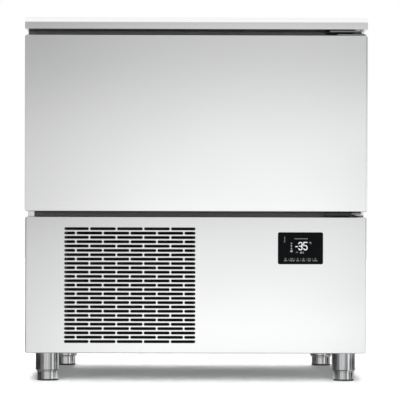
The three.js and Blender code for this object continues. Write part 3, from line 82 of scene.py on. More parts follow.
def make_camera():
    data = bpy.data.cameras.new("camera")
    data.lens = LENS_MM
    data.sensor_width = SENSOR_MM
    data.clip_end = 60
    camera = bpy.data.objects.new("camera", data)
    bpy.context.scene.collection.objects.link(camera)
    aim = Euler((math.pi / 2, 0, -CAMERA_YAW)).to_matrix()
    camera.matrix_world = Matrix.Translation(CAMERA_PLACE) @ (
        aim @ Matrix.Rotation(CAMERA_ROLL, 3, "Z")
    ).to_4x4()
    bpy.context.scene.camera = camera


# ------------------------------------------------------------------ node helpers


def feed(tree, value, socket):
    """Gives a socket its value, which is another node's output or a constant."""
    if isinstance(value, bpy.types.NodeSocket):
        tree.links.new(value, socket)
    else:
        socket.default_value = value


def maths_node(tree, operation, first, second=0.0):
    made = tree.nodes.new("ShaderNodeMath")
    made.operation = operation
    for socket, value in zip(made.inputs, (first, second)):
        feed(tree, value, socket)
    return made.outputs[0]


def mixed(tree, factor, first, second):
    """The first value where the factor is 0, and the second where it is 1."""
    made = tree.nodes.new("ShaderNodeMix")
    made.data_type = "FLOAT"
    for index, value in ((0, factor), (2, first), (3, second)):
        feed(tree, value, made.inputs[index])
    return made.outputs[0]


def ramped(tree, value, low, high, eased=False):
    """0 at low and 1 at high, with no more change past them."""
    made = tree.nodes.new("ShaderNodeMapRange")
    if eased:
        made.interpolation_type = "SMOOTHSTEP"
    made.inputs["From Min"].default_value = low
    made.inputs["From Max"].default_value = high
    tree.links.new(value, made.inputs["Value"])
    return made.outputs["Result"]


class Paint:
    """A Principled material and short calls for the nodes that feed it."""

    def __init__(self, name, **constants):
        self.material = bpy.data.materials.new(name)
        self.material.use_nodes = True
        self.tree = self.material.node_tree
        self.shader = self.tree.nodes["Principled BSDF"]
        for socket, value in constants.items():
            self.set(socket, value)

    def set(self, socket, value):
        name = socket.replace("_", " ")
        target = {k.name.lower(): k for k in self.shader.inputs}[name.lower()]
        feed(self.tree, (*value, 1.0) if isinstance(value, tuple) else value, target)

    def node(self, kind, **inputs):
        made = self.tree.nodes.new(kind)
        for name, value in inputs.items():
            feed(self.tree, value, made.inputs[name.replace("_", " ")])
        return made

    def maths(self, operation, first, second=0.0):
        return maths_node(self.tree, operation, first, second)

    def place(self, scale=(1, 1, 1)):
        """Object coordinates in metres, stretched."""
        coords = self.tree.nodes.new("ShaderNodeTexCoord")
        mapping = self.node("ShaderNodeMapping", Vector=coords.outputs["Object"], Scale=scale)
        return mapping.outputs["Vector"]

    def noise(self, vector, scale, detail, roughness):
        made = self.node(
            "ShaderNodeTexNoise", Vector=vector, Scale=scale, Detail=detail, Roughness=roughness
        )
        return made.outputs["Fac"]

    def spread(self, value, low, high, start=0.3, end=0.7):
        """Maps a texture's middle range onto low to high."""
        limits = {"From Min": start, "From Max": end, "To Min": low, "To Max": high}
        return self.node("ShaderNodeMapRange", Value=value, **limits).outputs["Result"]

    def blend(self, factor, first, second):
        made = self.tree.nodes.new("ShaderNodeMix")
        made.data_type = "RGBA"
        self.tree.links.new(factor, made.inputs["Factor"])
        made.inputs[6].default_value = (*first, 1.0)
        made.inputs[7].default_value = (*second, 1.0)
        return made.outputs[2]

    def bump(self, height, strength, distance, normal=None):
        made = self.node("ShaderNodeBump", Height=height, Strength=strength, Distance=distance)
        if normal is not None:
            self.tree.links.new(normal, made.inputs["Normal"])
        self.tree.links.new(made.outputs["Normal"], self.shader.inputs["Normal"])

    def bow(self, centre, slope):
        """The normal of a sheet that is bowed a little; slope is its tilt per metre in X and Z."""
        place = self.node("ShaderNodeSeparateXYZ", Vector=self.place())
        tilt = self.tree.nodes.new("ShaderNodeCombineXYZ")
        for axis, middle, rate in zip("XZ", centre, slope):
            offset = self.maths("SUBTRACT", place.outputs[axis], middle)
            self.tree.links.new(self.maths("MULTIPLY", offset, rate), tilt.inputs[axis])
        turned = self.tree.nodes.new("ShaderNodeVectorTransform")
        turned.vector_type = "VECTOR"
        turned.convert_from = "OBJECT"
        turned.convert_to = "WORLD"
        self.tree.links.new(tilt.outputs["Vector"], turned.inputs["Vector"])
        geometry = self.tree.nodes.new("ShaderNodeNewGeometry")
        total = self.tree.nodes.new("ShaderNodeVectorMath")
        total.operation = "ADD"
        self.tree.links.new(geometry.outputs["Normal"], total.inputs[0])
        self.tree.links.new(turned.outputs["Vector"], total.inputs[1])
        unit = self.tree.nodes.new("ShaderNodeVectorMath")
        unit.operation = "NORMALIZE"
        self.tree.links.new(total.outputs["Vector"], unit.inputs[0])
        return unit.outputs["Vector"]


def shade(colour, factor):
    return tuple(min(1.0, c * factor) for c in colour)


# ------------------------------------------------------------------ materials

STEEL = (0.82, 0.823, 0.828)
# tilt of a bowed sheet at its lower and upper end, in radians
DOOR_BOW = (-0.026, 0.026)
FRONT_BOW = (0.0, 0.075)
SIDE_BOW = 0.01  # tilt per metre across a bowed sheet


def brushed(name, rough=0.22, grain=(3.0, 3.0, 900.0), bowed=None, bow=(0, 0)):
    """Sheet steel with a fine drawn grain; the grain runs along the axes with a small scale."""
    paint = Paint(name, metallic=1.0, anisotropic=0.4)
    lines = paint.noise(paint.place(grain), 1.0, 3.0, 0.6)
    cloud = paint.noise(paint.place(), 3.2, 3.0, 0.5)
    tone = paint.spread(lines, 0.0, 1.0)
    paint.set("base color", paint.blend(tone, shade(STEEL, 0.985), shade(STEEL, 1.01)))
    streaks = paint.spread(lines, rough - 0.012, rough + 0.012)
    paint.set("roughness", paint.maths("ADD", streaks, paint.spread(cloud, -0.012, 0.016)))
    normal = None
    if bowed:
        low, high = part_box(bowed)
        rise = (bow[1] - bow[0]) / (high.z - low.z)
        level = low.z - bow[0] / rise
        normal = paint.bow(((low.x + high.x) / 2, level), (SIDE_BOW, rise))
    paint.bump(lines, 0.03, 0.0001, normal)
    return paint.material


def polished(name, colour=(0.56, 0.565, 0.572)):
    """Turned and polished steel with faint rings and a few dull patches."""
    paint = Paint(name, metallic=1.0)
    rings = paint.noise(paint.place((6.0, 6.0, 900.0)), 1.0, 2.0, 0.5)
    dull = paint.noise(paint.place(), 38.0, 3.0, 0.6)
    paint.set("roughness", paint.spread(dull, 0.05, 0.1))
    paint.set("base color", paint.blend(rings, shade(colour, 0.96), shade(colour, 1.03)))
    paint.bump(rings, 0.03, 0.0001)
    return paint.material


def galvanised(name):
    """Zinc-coated sheet with its crystal spangle."""
    paint = Paint(name, metallic=0.9)
    spangle = paint.node("ShaderNodeTexVoronoi", Vector=paint.place(), Scale=95.0)
    grey = paint.spread(spangle.outputs["Distance"], 0.0, 1.0, 0.0, 0.9)
    paint.set("base color", paint.blend(grey, (0.66, 0.68, 0.69), (0.54, 0.56, 0.58)))
    paint.set("roughness", paint.spread(spangle.outputs["Distance"], 0.36, 0.54, 0.0, 0.9))
    return paint.material


def moulded(name, colour, rough=0.5, scale=1400.0, depth=0.12):
    """Moulded plastic, rubber or paint with a fine leathery grain."""
    paint = Paint(name)
    grain = paint.noise(paint.place(), scale, 2.0, 0.6)
    cloud = paint.noise(paint.place(), 9.0, 3.0, 0.5)
    paint.set("base color", paint.blend(cloud, shade(colour, 0.85), shade(colour, 1.15)))
    paint.set("roughness", paint.spread(cloud, rough - 0.05, rough + 0.06))
    paint.bump(grain, depth, 0.0003)
    return paint.material


def cast_foam(name):
    """Rigid polyurethane foam with open cells on its cut faces."""
    paint = Paint(name)
    cells = paint.node("ShaderNodeTexVoronoi", Vector=paint.place(), Scale=420.0)
    distance = cells.outputs["Distance"]
    paint.set("base color", paint.blend(distance, (0.62, 0.52, 0.3), (0.84, 0.76, 0.54)))
    paint.set("roughness", 0.92)
    paint.bump(distance, 0.35, 0.0008)
    return paint.material


def bare_metal(name, colour, rough, scale=140.0):
    """Drawn tube or fin stock, a little tarnished."""
    paint = Paint(name, metallic=1.0)
    tarnish = paint.noise(paint.place(), scale, 4.0, 0.6)
    paint.set("base color", paint.blend(tarnish, shade(colour, 0.8), shade(colour, 1.08)))
    paint.set("roughness", paint.spread(tarnish, rough - 0.06, rough + 0.1))
    paint.bump(tarnish, 0.04, 0.0003)
    return paint.material


def display_glass(name):
    """Black printed glass with the faintest haze."""
    paint = Paint(name, specular_ior_level=0.02)
    haze = paint.noise(paint.place(), 26.0, 3.0, 0.6)
    paint.set("base color", paint.blend(haze, (0.0015, 0.0016, 0.0018), (0.003, 0.0032, 0.0035)))
    paint.set("roughness", paint.spread(haze, 0.05, 0.09))
    return paint.material


def lit(name, colour, strength):
    """Display segments: pale, and lit from behind with a slight unevenness."""
    paint = Paint(name, roughness=0.4, specular_ior_level=0.1, emission_strength=strength)
    uneven = paint.noise(paint.place(), 320.0, 2.0, 0.5)
    paint.set("base color", paint.blend(uneven, shade(colour, 0.1), shade(colour, 0.12)))
    paint.set("emission color", paint.blend(uneven, shade(colour, 0.92), colour))
    return paint.material


def make_materials():
    return {
        "stainless": brushed("stainless"),
        "stainless_door": brushed("stainless_door", bowed="door_outer_skin", bow=DOOR_BOW),
        "stainless_front": brushed("stainless_front", bowed="front_panel", bow=FRONT_BOW),
        "stainless_inner": brushed("stainless_inner", rough=0.34, grain=(900.0, 3.0, 3.0)),
        "polished": polished("polished"),
        "galvanised": galvanised("galvanised"),
        "black_plastic": moulded("black_plastic", (0.022, 0.022, 0.024), 0.5),
        # a lighter copy of the black plastic, for the frame deep in the door gaps: painted light, in
        # place of the light that reaches in
        "gap_plastic_painted_light": moulded("gap_plastic_painted_light", (0.085, 0.085, 0.087), 0.45),
        # near black: painted shade, on the strip over the lower hinge bracket
        "shade_strip_plastic": moulded("shade_strip_plastic", (0.006, 0.006, 0.007), 0.5),
        # a darker copy of the steel: painted shade for the hinges, which sit in the door's shadow
        "hinge_steel_painted_shade": bare_metal("hinge_steel_painted_shade", (0.27, 0.272, 0.276), 0.36, 60.0),
        "display_glass": display_glass("display_glass"),
        "foam": cast_foam("foam"),
        "fins": bare_metal("fins", (0.66, 0.68, 0.69), 0.4),
        "copper": bare_metal("copper", (0.74, 0.42, 0.27), 0.3),
        "brass": bare_metal("brass", (0.73, 0.6, 0.3), 0.32),
        "black_paint": moulded("black_paint", (0.02, 0.02, 0.022), 0.38, 700.0, 0.08),
        "rubber": moulded("rubber", (0.03, 0.03, 0.032), 0.72, 900.0, 0.15),
        "nylon": moulded("nylon", (0.78, 0.78, 0.75), 0.45, 800.0, 0.05),
        "display_white": lit("display_white", (1.0, 1.0, 1.0), 0.72),
        "display_snow": lit("display_snow", (1.0, 1.0, 1.0), 0.34),
        "display_grey": lit("display_grey", (0.9, 0.95, 1.0), 0.2),
        "display_dim": lit("display_dim", (0.9, 0.95, 1.0), 0.12),
    }


# ------------------------------------------------------------------ mesh helpers

# metres within which points are one: in an outline, in the front panel, in a CAD mesh
SAME_POINT = 1e-7
JOIN_WIDTH = 1e-6
WELD_WIDTH = 1e-5
BLOCK_ROUND = 0.5 * MM


def new_piece(name, mesh, body, material, replaced=()):
    """Puts a mesh in the scene, on a body, in place of the CAD nodes that it replaces."""
    piece = bpy.data.objects.new(name, mesh)
    bpy.context.scene.collection.objects.link(piece)
    piece.data.materials.clear()
    piece.data.materials.append(material)
    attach(piece, body)
    if replaced:
        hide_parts(*replaced)


def mesh_from(bm, name, smooth=True, sharp=40):
    """The mesh of bm, smooth except at folds sharper than the given angle in degrees."""
    bmesh.ops.recalc_face_normals(bm, faces=bm.faces)
    for edge in bm.edges:
        if len(edge.link_faces) == 2 and edge.calc_face_angle(0) > math.radians(sharp):
            edge.smooth = False
    for face in bm.faces:
        face.smooth = smooth
    mesh = bpy.data.meshes.new(name)
    bm.to_mesh(mesh)
    bm.free()
    return mesh


def soften(piece, width, segments=2, angle=35):
    """Rounds a piece's edges by modifiers, which leave its mesh as it is."""
    weld = piece.modifiers.new("weld", "WELD")
    weld.merge_threshold = WELD_WIDTH
    bevel = piece.modifiers.new("edges", "BEVEL")
    bevel.width = width
    bevel.segments = segments
    bevel.limit_method = "ANGLE"
    bevel.angle_limit = math.radians(angle)
    flatten = piece.modifiers.new("normals", "WEIGHTED_NORMAL")
    flatten.weight = 100
    piece.data.polygons.foreach_set("use_smooth", [True] * len(piece.data.polygons))


def rounded(u0, u1, v0, v1, radius, steps):
    """Points of a rounded rectangle, anticlockwise."""
    points = []
    corners = (
        (u1 - radius, v0 + radius, -90),
        (u1 - radius, v1 - radius, 0),
        (u0 + radius, v1 - radius, 90),
        (u0 + radius, v0 + radius, 180),
    )
    for cu, cv, start in corners:
        for k in range(steps + 1):
            angle = math.radians(start + 90 * k / steps)
            points.append((cu + radius * math.cos(angle), cv + radius * math.sin(angle)))
    return [p for i, p in enumerate(points) if math.dist(p, points[i - 1]) > SAME_POINT]


def filled(outline, holes):
    """A flat mesh in U and V that fills the outline and leaves its holes open."""
    curve = bpy.data.curves.new("fill", "CURVE")
    curve.dimensions = "2D"
    curve.fill_mode = "BOTH"
    for ring in (outline, *holes):
        spline = curve.splines.new("POLY")
        spline.points.add(len(ring) - 1)
        for point, (u, v) in zip(spline.points, ring):
            point.co = (u, v, 0, 1)
        spline.use_cyclic_u = True
    holder = bpy.data.objects.new("fill", curve)
    bpy.context.scene.collection.objects.link(holder)
    shown = holder.evaluated_get(bpy.context.evaluated_depsgraph_get())
    mesh = bpy.data.meshes.new_from_object(shown)
    bpy.data.objects.remove(holder)
    bpy.data.curves.remove(curve)
    return mesh


def ring_of(bm, points, y):
    """Vertices at (u, v) points in X and Z, at one depth."""
    return [bm.verts.new((u, y, v)) for u, v in points]


def bridge(bm, first, second):
    """Quads between two closed rows of vertices."""
    for i in range(len(first)):
        j = (i + 1) % len(first)
        bm.faces.new((first[i], first[j], second[j], second[i]))


def lathe(profile, sides, centre, axis="Z"):
    """A turned mesh from (radius, height) points about an axis through centre, Z or Y."""
    bm = bmesh.new()
    rows = []
    for radius, height in profile:
        row = []
        for k in range(sides if radius > SAME_POINT else 1):
            angle = 2 * math.pi * k / sides
            across = centre[0] + radius * math.cos(angle)
            along = centre[1] + radius * math.sin(angle)
            point = (across, along, height) if axis == "Z" else (across, height, along)
            row.append(bm.verts.new(point))
        rows.append(row)
    for low, high in zip(rows, rows[1:]):
        if len(low) == len(high):
            bridge(bm, low, high)
        else:
            tip, rim = (low[0], high) if len(low) == 1 else (high[0], low)
            for k in range(sides):
                bm.faces.new((tip, rim[k], rim[(k + 1) % sides]))
    return bm


def add_box(bm, low, high):
    for v in bmesh.ops.create_cube(bm, size=1)["verts"]:
        for i in range(3):
            v.co[i] = low[i] if v.co[i] < 0 else high[i]


def plastic_block(name, low, high, material):
    """A small moulded block with rounded edges, fixed to the cabinet."""
    bm = bmesh.new()
    add_box(bm, low, high)
    bmesh.ops.bevel(
        bm, geom=bm.edges[:], offset=BLOCK_ROUND, segments=2, profile=0.5, affect="EDGES"
    )
    new_piece(name, mesh_from(bm, name, sharp=50), "cabinet", material)


# ------------------------------------------------------------------ CAD nodes that stay

SLOT_OF = {row["node"]: row["material_slot"] for row in frame["record"]["subparts"]}
# looks that differ from the record's slot
LOOK_OF = {
    "inner_liner": "stainless_inner",
    "left_rack": "stainless_inner",
    "right_rack": "stainless_inner",
    "fan_deflector": "stainless_inner",
    "door_inner_skin": "stainless_inner",
    # the frame's lightened plastic is painted light in the gaps
    "breaker_frame": "gap_plastic_painted_light",
    # painted shade: the hinges take the darker steel and the bushes black plastic, as they sit in the
    # door's shadow in the gap
    "upper_hinge_bracket": "hinge_steel_painted_shade",
    "lower_hinge_bracket": "hinge_steel_painted_shade",
    "upper_door_hinge_plate": "hinge_steel_painted_shade",
    "upper_hinge_bush": "black_plastic",
    "lower_hinge_bush": "black_plastic",
}
EDGE_ROUND = 0.35 * MM
WORKTOP_ROUND = 0.7 * MM
SHARP = ("cabinet_insulation", "door_insulation", "evaporator_coil")


def dress_nodes(materials):
    """Gives each CAD node its material and soft edges."""
    for name, node in nodes.items():
        node.data.materials.clear()
        node.data.materials.append(materials[LOOK_OF.get(name, SLOT_OF[name])])
        if name not in SHARP:
            soften(node, WORKTOP_ROUND if name == "worktop" else EDGE_ROUND)


# ------------------------------------------------------------------ front panel

SLOT_ROWS = 27
SLOT_COLUMNS = 5
SLOT_HEIGHT = 6.5 * MM
SLOT_ROW_PITCH = 10.125 * MM
SLOT_LENGTH = 60 * MM
SLOT_BRIDGE = 3 * MM
FIELD_WIDTH = 306 * MM
FIELD_X = -154.5 * MM
FIELD_ABOVE_BASE = 27.2 * MM
PANEL_CORNER = 5 * MM
PANEL_FOLDS = (4 * MM, 4 * MM, 1.6 * MM)  # widths of the rounding at left, right, and both ends
DOOR_FOLDS = (1.2 * MM, 4 * MM, 1.6 * MM)
FOLD_STEPS = 9
PUNCH_ROUND = 0.35 * MM
PUNCH_ANGLES = (0, 30, 60, 90)  # degrees along the rounding of a hole's rim
PUNCH_DEPTH = 1.5 * MM
CORNER_STEPS = 6  # of the quarter rounds of an outline or a hole
WINDOW_CORNER = 3.8 * MM
FLAT = 0.9999  # share of a normal along its axis on a flat face


def slot_field(base_z):
    """(left, right, middle height) of each slot, every second row moved by half a slot."""
    pitch = SLOT_LENGTH + SLOT_BRIDGE
    left, right = FIELD_X - FIELD_WIDTH / 2, FIELD_X + FIELD_WIDTH / 2
    slots = []
    for row in range(SLOT_ROWS):
        z = base_z + FIELD_ABOVE_BASE + row * SLOT_ROW_PITCH
        shift = pitch / 2 if row % 2 else 0
        for k in range(-SLOT_COLUMNS, SLOT_COLUMNS + 1):
            middle = FIELD_X + k * pitch + shift
            start = max(middle - SLOT_LENGTH / 2, left)
            end = min(middle + SLOT_LENGTH / 2, right)
            if end - start >= 2 * SLOT_HEIGHT:
                slots.append((start, end, z))
    return slots


def folded(low, high, folds, share=1.0):
    """The outline of a pan's face at a share of its folds: 0 at the flat face, 1 at the walls."""
    left, right, end = (width * (1 - share) for width in folds)
    return rounded(
        low.x + left, high.x - right, low.z + end, high.z - end,
        PANEL_CORNER - max(left, right), CORNER_STEPS,
    )


def fold_places():
    """Share and depth, as a part of the fold's width, along a quarter round."""
    angles = [math.radians(90 * k / FOLD_STEPS) for k in range(FOLD_STEPS + 1)]
    return [(math.sin(a), 1 - math.cos(a)) for a in angles]


def flat_shaded(mesh):
    """Turns the mesh outwards, to the front, and shades its flat front faces flat."""
    if sum(p.normal.y * p.area for p in mesh.polygons) > 0:
        mesh.flip_normals()
    for polygon in mesh.polygons:
        polygon.use_smooth = abs(polygon.normal.y) < FLAT


def make_front_panel(materials):
    """The lower front pan: a flat face with rimmed holes, rounded folds and its walls."""
    low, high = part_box("front_panel")
    glass_low, glass_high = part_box("display_glass")
    half = SLOT_HEIGHT / 2
    holes = [(start, end, z - half, z + half, half) for start, end, z in slot_field(low.z)]
    window = (
        glass_low.x - SEAT, glass_high.x + SEAT, glass_low.z - SEAT, glass_high.z + SEAT,
        WINDOW_CORNER,
    )
    holes.append(window)

    def hole(u0, u1, v0, v1, radius, grow):
        return rounded(u0 - grow, u1 + grow, v0 - grow, v1 + grow, radius + grow, CORNER_STEPS)

    flat = filled(folded(low, high, PANEL_FOLDS, 0), [hole(*h, PUNCH_ROUND) for h in holes])
    for v in flat.vertices:
        v.co = Vector((v.co.x, low.y, v.co.y))
    bm = bmesh.new()
    bm.from_mesh(flat)
    for h in holes:
        rows = []
        for angle in map(math.radians, PUNCH_ANGLES):
            rim = hole(*h, PUNCH_ROUND * (1 - math.sin(angle)))
            rows.append(ring_of(bm, rim, low.y + PUNCH_ROUND * (1 - math.cos(angle))))
        rows.append(ring_of(bm, hole(*h, 0), low.y + PUNCH_DEPTH))
        for first, second in zip(rows, rows[1:]):
            bridge(bm, first, second)
    rows = [
        ring_of(bm, folded(low, high, PANEL_FOLDS, share), low.y + depth * max(PANEL_FOLDS))
        for share, depth in fold_places()
    ]
    for first, second in zip(rows, rows[1:]):
        bridge(bm, first, second)
    walls = ring_of(bm, folded(low, high, PANEL_FOLDS), high.y)
    for i in range(len(walls)):
        j = (i + 1) % len(walls)
        if max(walls[i].co.z, walls[j].co.z) > low.z + WELD_WIDTH:  # the pan has no lower wall
            bm.faces.new((rows[-1][i], rows[-1][j], walls[j], walls[i]))
    bmesh.ops.remove_doubles(bm, verts=bm.verts, dist=JOIN_WIDTH)
    loose = [v for v in bm.verts if not v.link_faces]
    bmesh.ops.delete(bm, geom=loose, context="VERTS")
    mesh = mesh_from(bm, "front_panel_sheet")
    flat_shaded(mesh)
    new_piece(
        "front_panel_sheet", mesh, "cabinet", materials["stainless_front"],
        ["front_panel"],
    )


# ------------------------------------------------------------------ door skin, and the painted shade in the gaps

GRIP_DEPTHS = (-366 * MM, -328 * MM)  # of the finger grip's window in the door's free edge
GRIP_END = 13 * MM  # the closed edge above and below it
# the gaps' dark blocks, painted shade over the sides' flanges
SHADE_BLOCK_DEPTH = 3 * MM
# the near-black strip over the lower bracket, painted shade
SHADE_STRIP_DEPTH = 2.4 * MM
SHADE_STRIP_LENGTH = 61 * MM
SHADE_STRIP_LAP = 1 * MM  # past the bracket's end, and a little less above and below it
SHADE_BLOCK_GAP = 0.6 * MM  # to the door and the front panel
SHADE_BLOCK_INSET = 1.2 * MM  # from the side's outer face
SHADE_BLOCK_LAP = 1.5 * MM  # onto the door frame's end
SHADE_BLOCK_DROP = 0.2 * MM  # below the frame's top


def make_door_skin(materials):
    """The door's outer pan: a flat face, rounded folds, and the finger grip's window."""
    low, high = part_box("door_outer_skin")
    sill, lintel = low.z + GRIP_END, high.z - GRIP_END
    outline = folded(low, high, DOOR_FOLDS)
    # the free edge's straight stretch ends at this point and gets the window's two corners before it
    window_at = next(
        i for i, (u, v) in enumerate(outline) if v < sill and u < 0 and outline[i - 1][1] > lintel
    )

    def ring(y, share=1.0):
        points = folded(low, high, DOOR_FOLDS, share)
        side = points[window_at][0]
        points[window_at:window_at] = [(side, lintel), (side, sill)]
        return ring_of(bm, points, y)

    bm = bmesh.new()
    folds = [ring(low.y + depth * max(DOOR_FOLDS), share) for share, depth in fold_places()]
    bm.faces.new(folds[0])
    front_ring, rear_ring, wall_end = (ring(y) for y in (*GRIP_DEPTHS, high.y))
    for first, second in zip(folds, folds[1:] + [front_ring]):
        bridge(bm, first, second)
    for i in range(len(front_ring)):
        j = (i + 1) % len(front_ring)
        if i != window_at:
            bm.faces.new((front_ring[i], front_ring[j], rear_ring[j], rear_ring[i]))
    bridge(bm, rear_ring, wall_end)
    mesh = mesh_from(bm, "door_skin")
    flat_shaded(mesh)
    new_piece(
        "door_skin", mesh, "door", materials["stainless_door"], ["door_outer_skin"]
    )


def make_gap_shade_blocks(materials):
    """Dark plastic blocks over the sides' flanges in the two gaps, at the door frame's ends: painted
    shade in place of the flanges' darker reflection.
    """
    frame_low, frame_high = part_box("breaker_frame")
    left_low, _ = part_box("left_side_panel")
    _, right_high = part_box("right_side_panel")
    panel_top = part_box("front_panel")[1].z
    door_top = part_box("door_outer_skin")[1].z
    upper_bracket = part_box("upper_hinge_bracket")[0].z
    lower_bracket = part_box("lower_hinge_bracket")[0].z
    left = (left_low.x + SHADE_BLOCK_INSET, frame_low.x + SHADE_BLOCK_LAP)
    right = (frame_high.x - SHADE_BLOCK_LAP, right_high.x - SHADE_BLOCK_INSET)
    upper = door_top + SHADE_BLOCK_GAP
    places = (
        ("gap_shade_block_upper_left", left, (upper, frame_high.z - SHADE_BLOCK_DROP)),
        ("gap_shade_block_upper_right", right, (upper, upper_bracket - SEAT)),
        ("gap_shade_block_lower_right", right, (panel_top + SHADE_BLOCK_GAP, lower_bracket - SEAT)),
    )
    for name, (x_low, x_high), (z_low, z_high) in places:
        plastic_block(
            name, (x_low, left_low.y - SHADE_BLOCK_DEPTH, z_low), (x_high, left_low.y - SEAT, z_high),
            materials["gap_plastic_painted_light"],
        )


def make_hinge_shade_strip(materials):
    """A near-black strip over the lower bracket's front edge, open at the pin: painted shade of the
    door's shadow there.
    """
    low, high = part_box("lower_hinge_bracket")
    plastic_block(
        "lower_hinge_shade_strip",
        (low.x - SHADE_STRIP_LAP, low.y - SHADE_STRIP_DEPTH, low.z - 0.8 * SHADE_STRIP_LAP),
        (low.x + SHADE_STRIP_LENGTH, low.y - SEAT, high.z + 0.6 * SHADE_STRIP_LAP),
        materials["shade_strip_plastic"],
    )


# ------------------------------------------------------------------ screws

SCREW_RADIUS = 4.4 * MM
SCREW_HEIGHT = 2.2 * MM
SCREW_INSET = 8 * MM
SCREW_SIDES = 20
REAR_SCREWS = 5  # along each side of the rear panel
REAR_SCREW_END = 20 * MM


def screw_heads(name, places, face, outward, material):
    """Low button heads with a round recess, on a face square to Y."""
    turned = (
        (0, 0.05), (SCREW_RADIUS, 0.05), (SCREW_RADIUS, 0.25), (0.86 * SCREW_RADIUS, 0.65),
        (0.6 * SCREW_RADIUS, 0.93), (0.4 * SCREW_RADIUS, 1.0), (0.36 * SCREW_RADIUS, 0.5),
        (0, 0.5),
    )
    profile = [(radius, face + outward * share * SCREW_HEIGHT) for radius, share in turned]
    heads = bmesh.new()
    for x, z in places:
        single = mesh_from(lathe(profile, SCREW_SIDES, (x, z), axis="Y"), "screw_head")
        heads.from_mesh(single)
        bpy.data.meshes.remove(single)
    new_piece(name, mesh_from(heads, name), "cabinet", material)


def make_screws(materials):
    """Along the rear panel's sides and top, and at the deflector's corners."""
    low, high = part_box("rear_panel")
    pitch = (high.z - low.z - 2 * REAR_SCREW_END) / (REAR_SCREWS - 1)
    places = []
    for x in (low.x + SCREW_INSET, high.x - SCREW_INSET):
        places += [(x, low.z + REAR_SCREW_END + k * pitch) for k in range(REAR_SCREWS)]
    places += [(k * high.x / 2, high.z - SCREW_INSET) for k in (-1, 0, 1)]
    screw_heads("rear_panel_screws", places, high.y, 1, materials["stainless"])

    low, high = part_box("fan_deflector")
    corners = [
        (x, z)
        for x in (low.x + 1.5 * SCREW_INSET, high.x - 1.5 * SCREW_INSET)
        for z in (low.z + 2 * SCREW_INSET, high.z - 2 * SCREW_INSET)
    ]
    screw_heads("deflector_screws", corners, low.y, -1, materials["stainless_inner"])


# ------------------------------------------------------------------ legs

LEG_SIDES = 64
SLEEVE_RADIUS = 28 * MM
FOOT_RADIUS = 24.75 * MM
SHADE_SOLE_HEIGHT = 3.4 * MM
SKIRT_TOP = 22 * MM
FOOT_TOP = 48 * MM


def sleeve_profile(mouth, top):
    """The sleeve, open below, with a turned-in lower rim."""
    radius = SLEEVE_RADIUS
    return [
        (0, mouth + 30 * MM), (radius - 2.6 * MM, mouth + 30 * MM),
        (radius - 2.6 * MM, mouth + 0.6 * MM), (radius - 2.2 * MM, mouth),
        (radius - 1.2 * MM, mouth), (radius - 0.9 * MM, mouth + 0.6 * MM),
        (radius, mouth + 2.2 * MM), (radius, top - 0.8 * MM), (radius - 0.8 * MM, top), (0, top),
    ]


def foot_profile():
    """The screwed foot: a plain skirt on its sole, then a wider neck up into the sleeve."""
    radius = FOOT_RADIUS
    return [
        (0, SHADE_SOLE_HEIGHT), (radius - 1.6 * MM, SHADE_SOLE_HEIGHT), (radius - 0.9 * MM, SHADE_SOLE_HEIGHT + 0.6 * MM),
        (radius - 0.9 * MM, SKIRT_TOP - 1.0 * MM), (radius - 0.4 * MM, SKIRT_TOP - 0.4 * MM),
        (radius, SKIRT_TOP), (radius, FOOT_TOP - 0.5 * MM),
        (radius - 0.5 * MM, FOOT_TOP), (0, FOOT_TOP),
    ]


def shade_sole_profile():
    """The dark sole, a little wider than the skirt and rounded at its rim: a pad such as feet have,
    made taller and darker as painted shade where the foot meets the floor.
    """
    radius = FOOT_RADIUS
    return [
        (0, 0), (radius - 2.4 * MM, 0), (radius - 1.0 * MM, 0.5 * MM),
        (radius, 1.6 * MM), (radius, SHADE_SOLE_HEIGHT - 0.5 * MM), (radius - 0.8 * MM, SHADE_SOLE_HEIGHT),
        (0, SHADE_SOLE_HEIGHT),
    ]


def make_legs(materials):
    """Each leg's sleeve on the cabinet, and its foot with the dark sole, partly painted shade, on the
    body that screws.
    """
    for place in ("front_left", "front_right", "rear_left", "rear_right"):
        leg, foot = f"{place}_leg", f"{place}_foot"
        low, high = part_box(leg)
        centre = ((low.x + high.x) / 2, (low.y + high.y) / 2)
        turned = (
            (f"{leg}_tube", sleeve_profile(low.z, high.z), "cabinet", "polished", [leg]),
            (f"{foot}_tube", foot_profile(), foot, "polished", [foot]),
            # the sole's black is partly painted shade at the foot's lower rim
            (f"{foot}_shade_sole_pad", shade_sole_profile(), foot, "black_plastic", []),
        )
        for name, profile, body, finish, replaced in turned:
            mesh = mesh_from(lathe(profile, LEG_SIDES, centre), name, sharp=18)
            new_piece(name, mesh, body, materials[finish], replaced)


# ------------------------------------------------------------------ condenser

FIN_PITCH = 2.6 * MM
FIN_WAVE = 1.5 * MM
FIN_WAVES = 8
FIN_INSET = 1 * MM  # from the block's front and rear
FIN_ENDS = 3 * MM  # from its top and bottom
BENDS_WIDTH = 18 * MM  # where the tubes turn back, beside the fins
END_PLATE = 1.5 * MM
FRAME_SHEET = 2 * MM


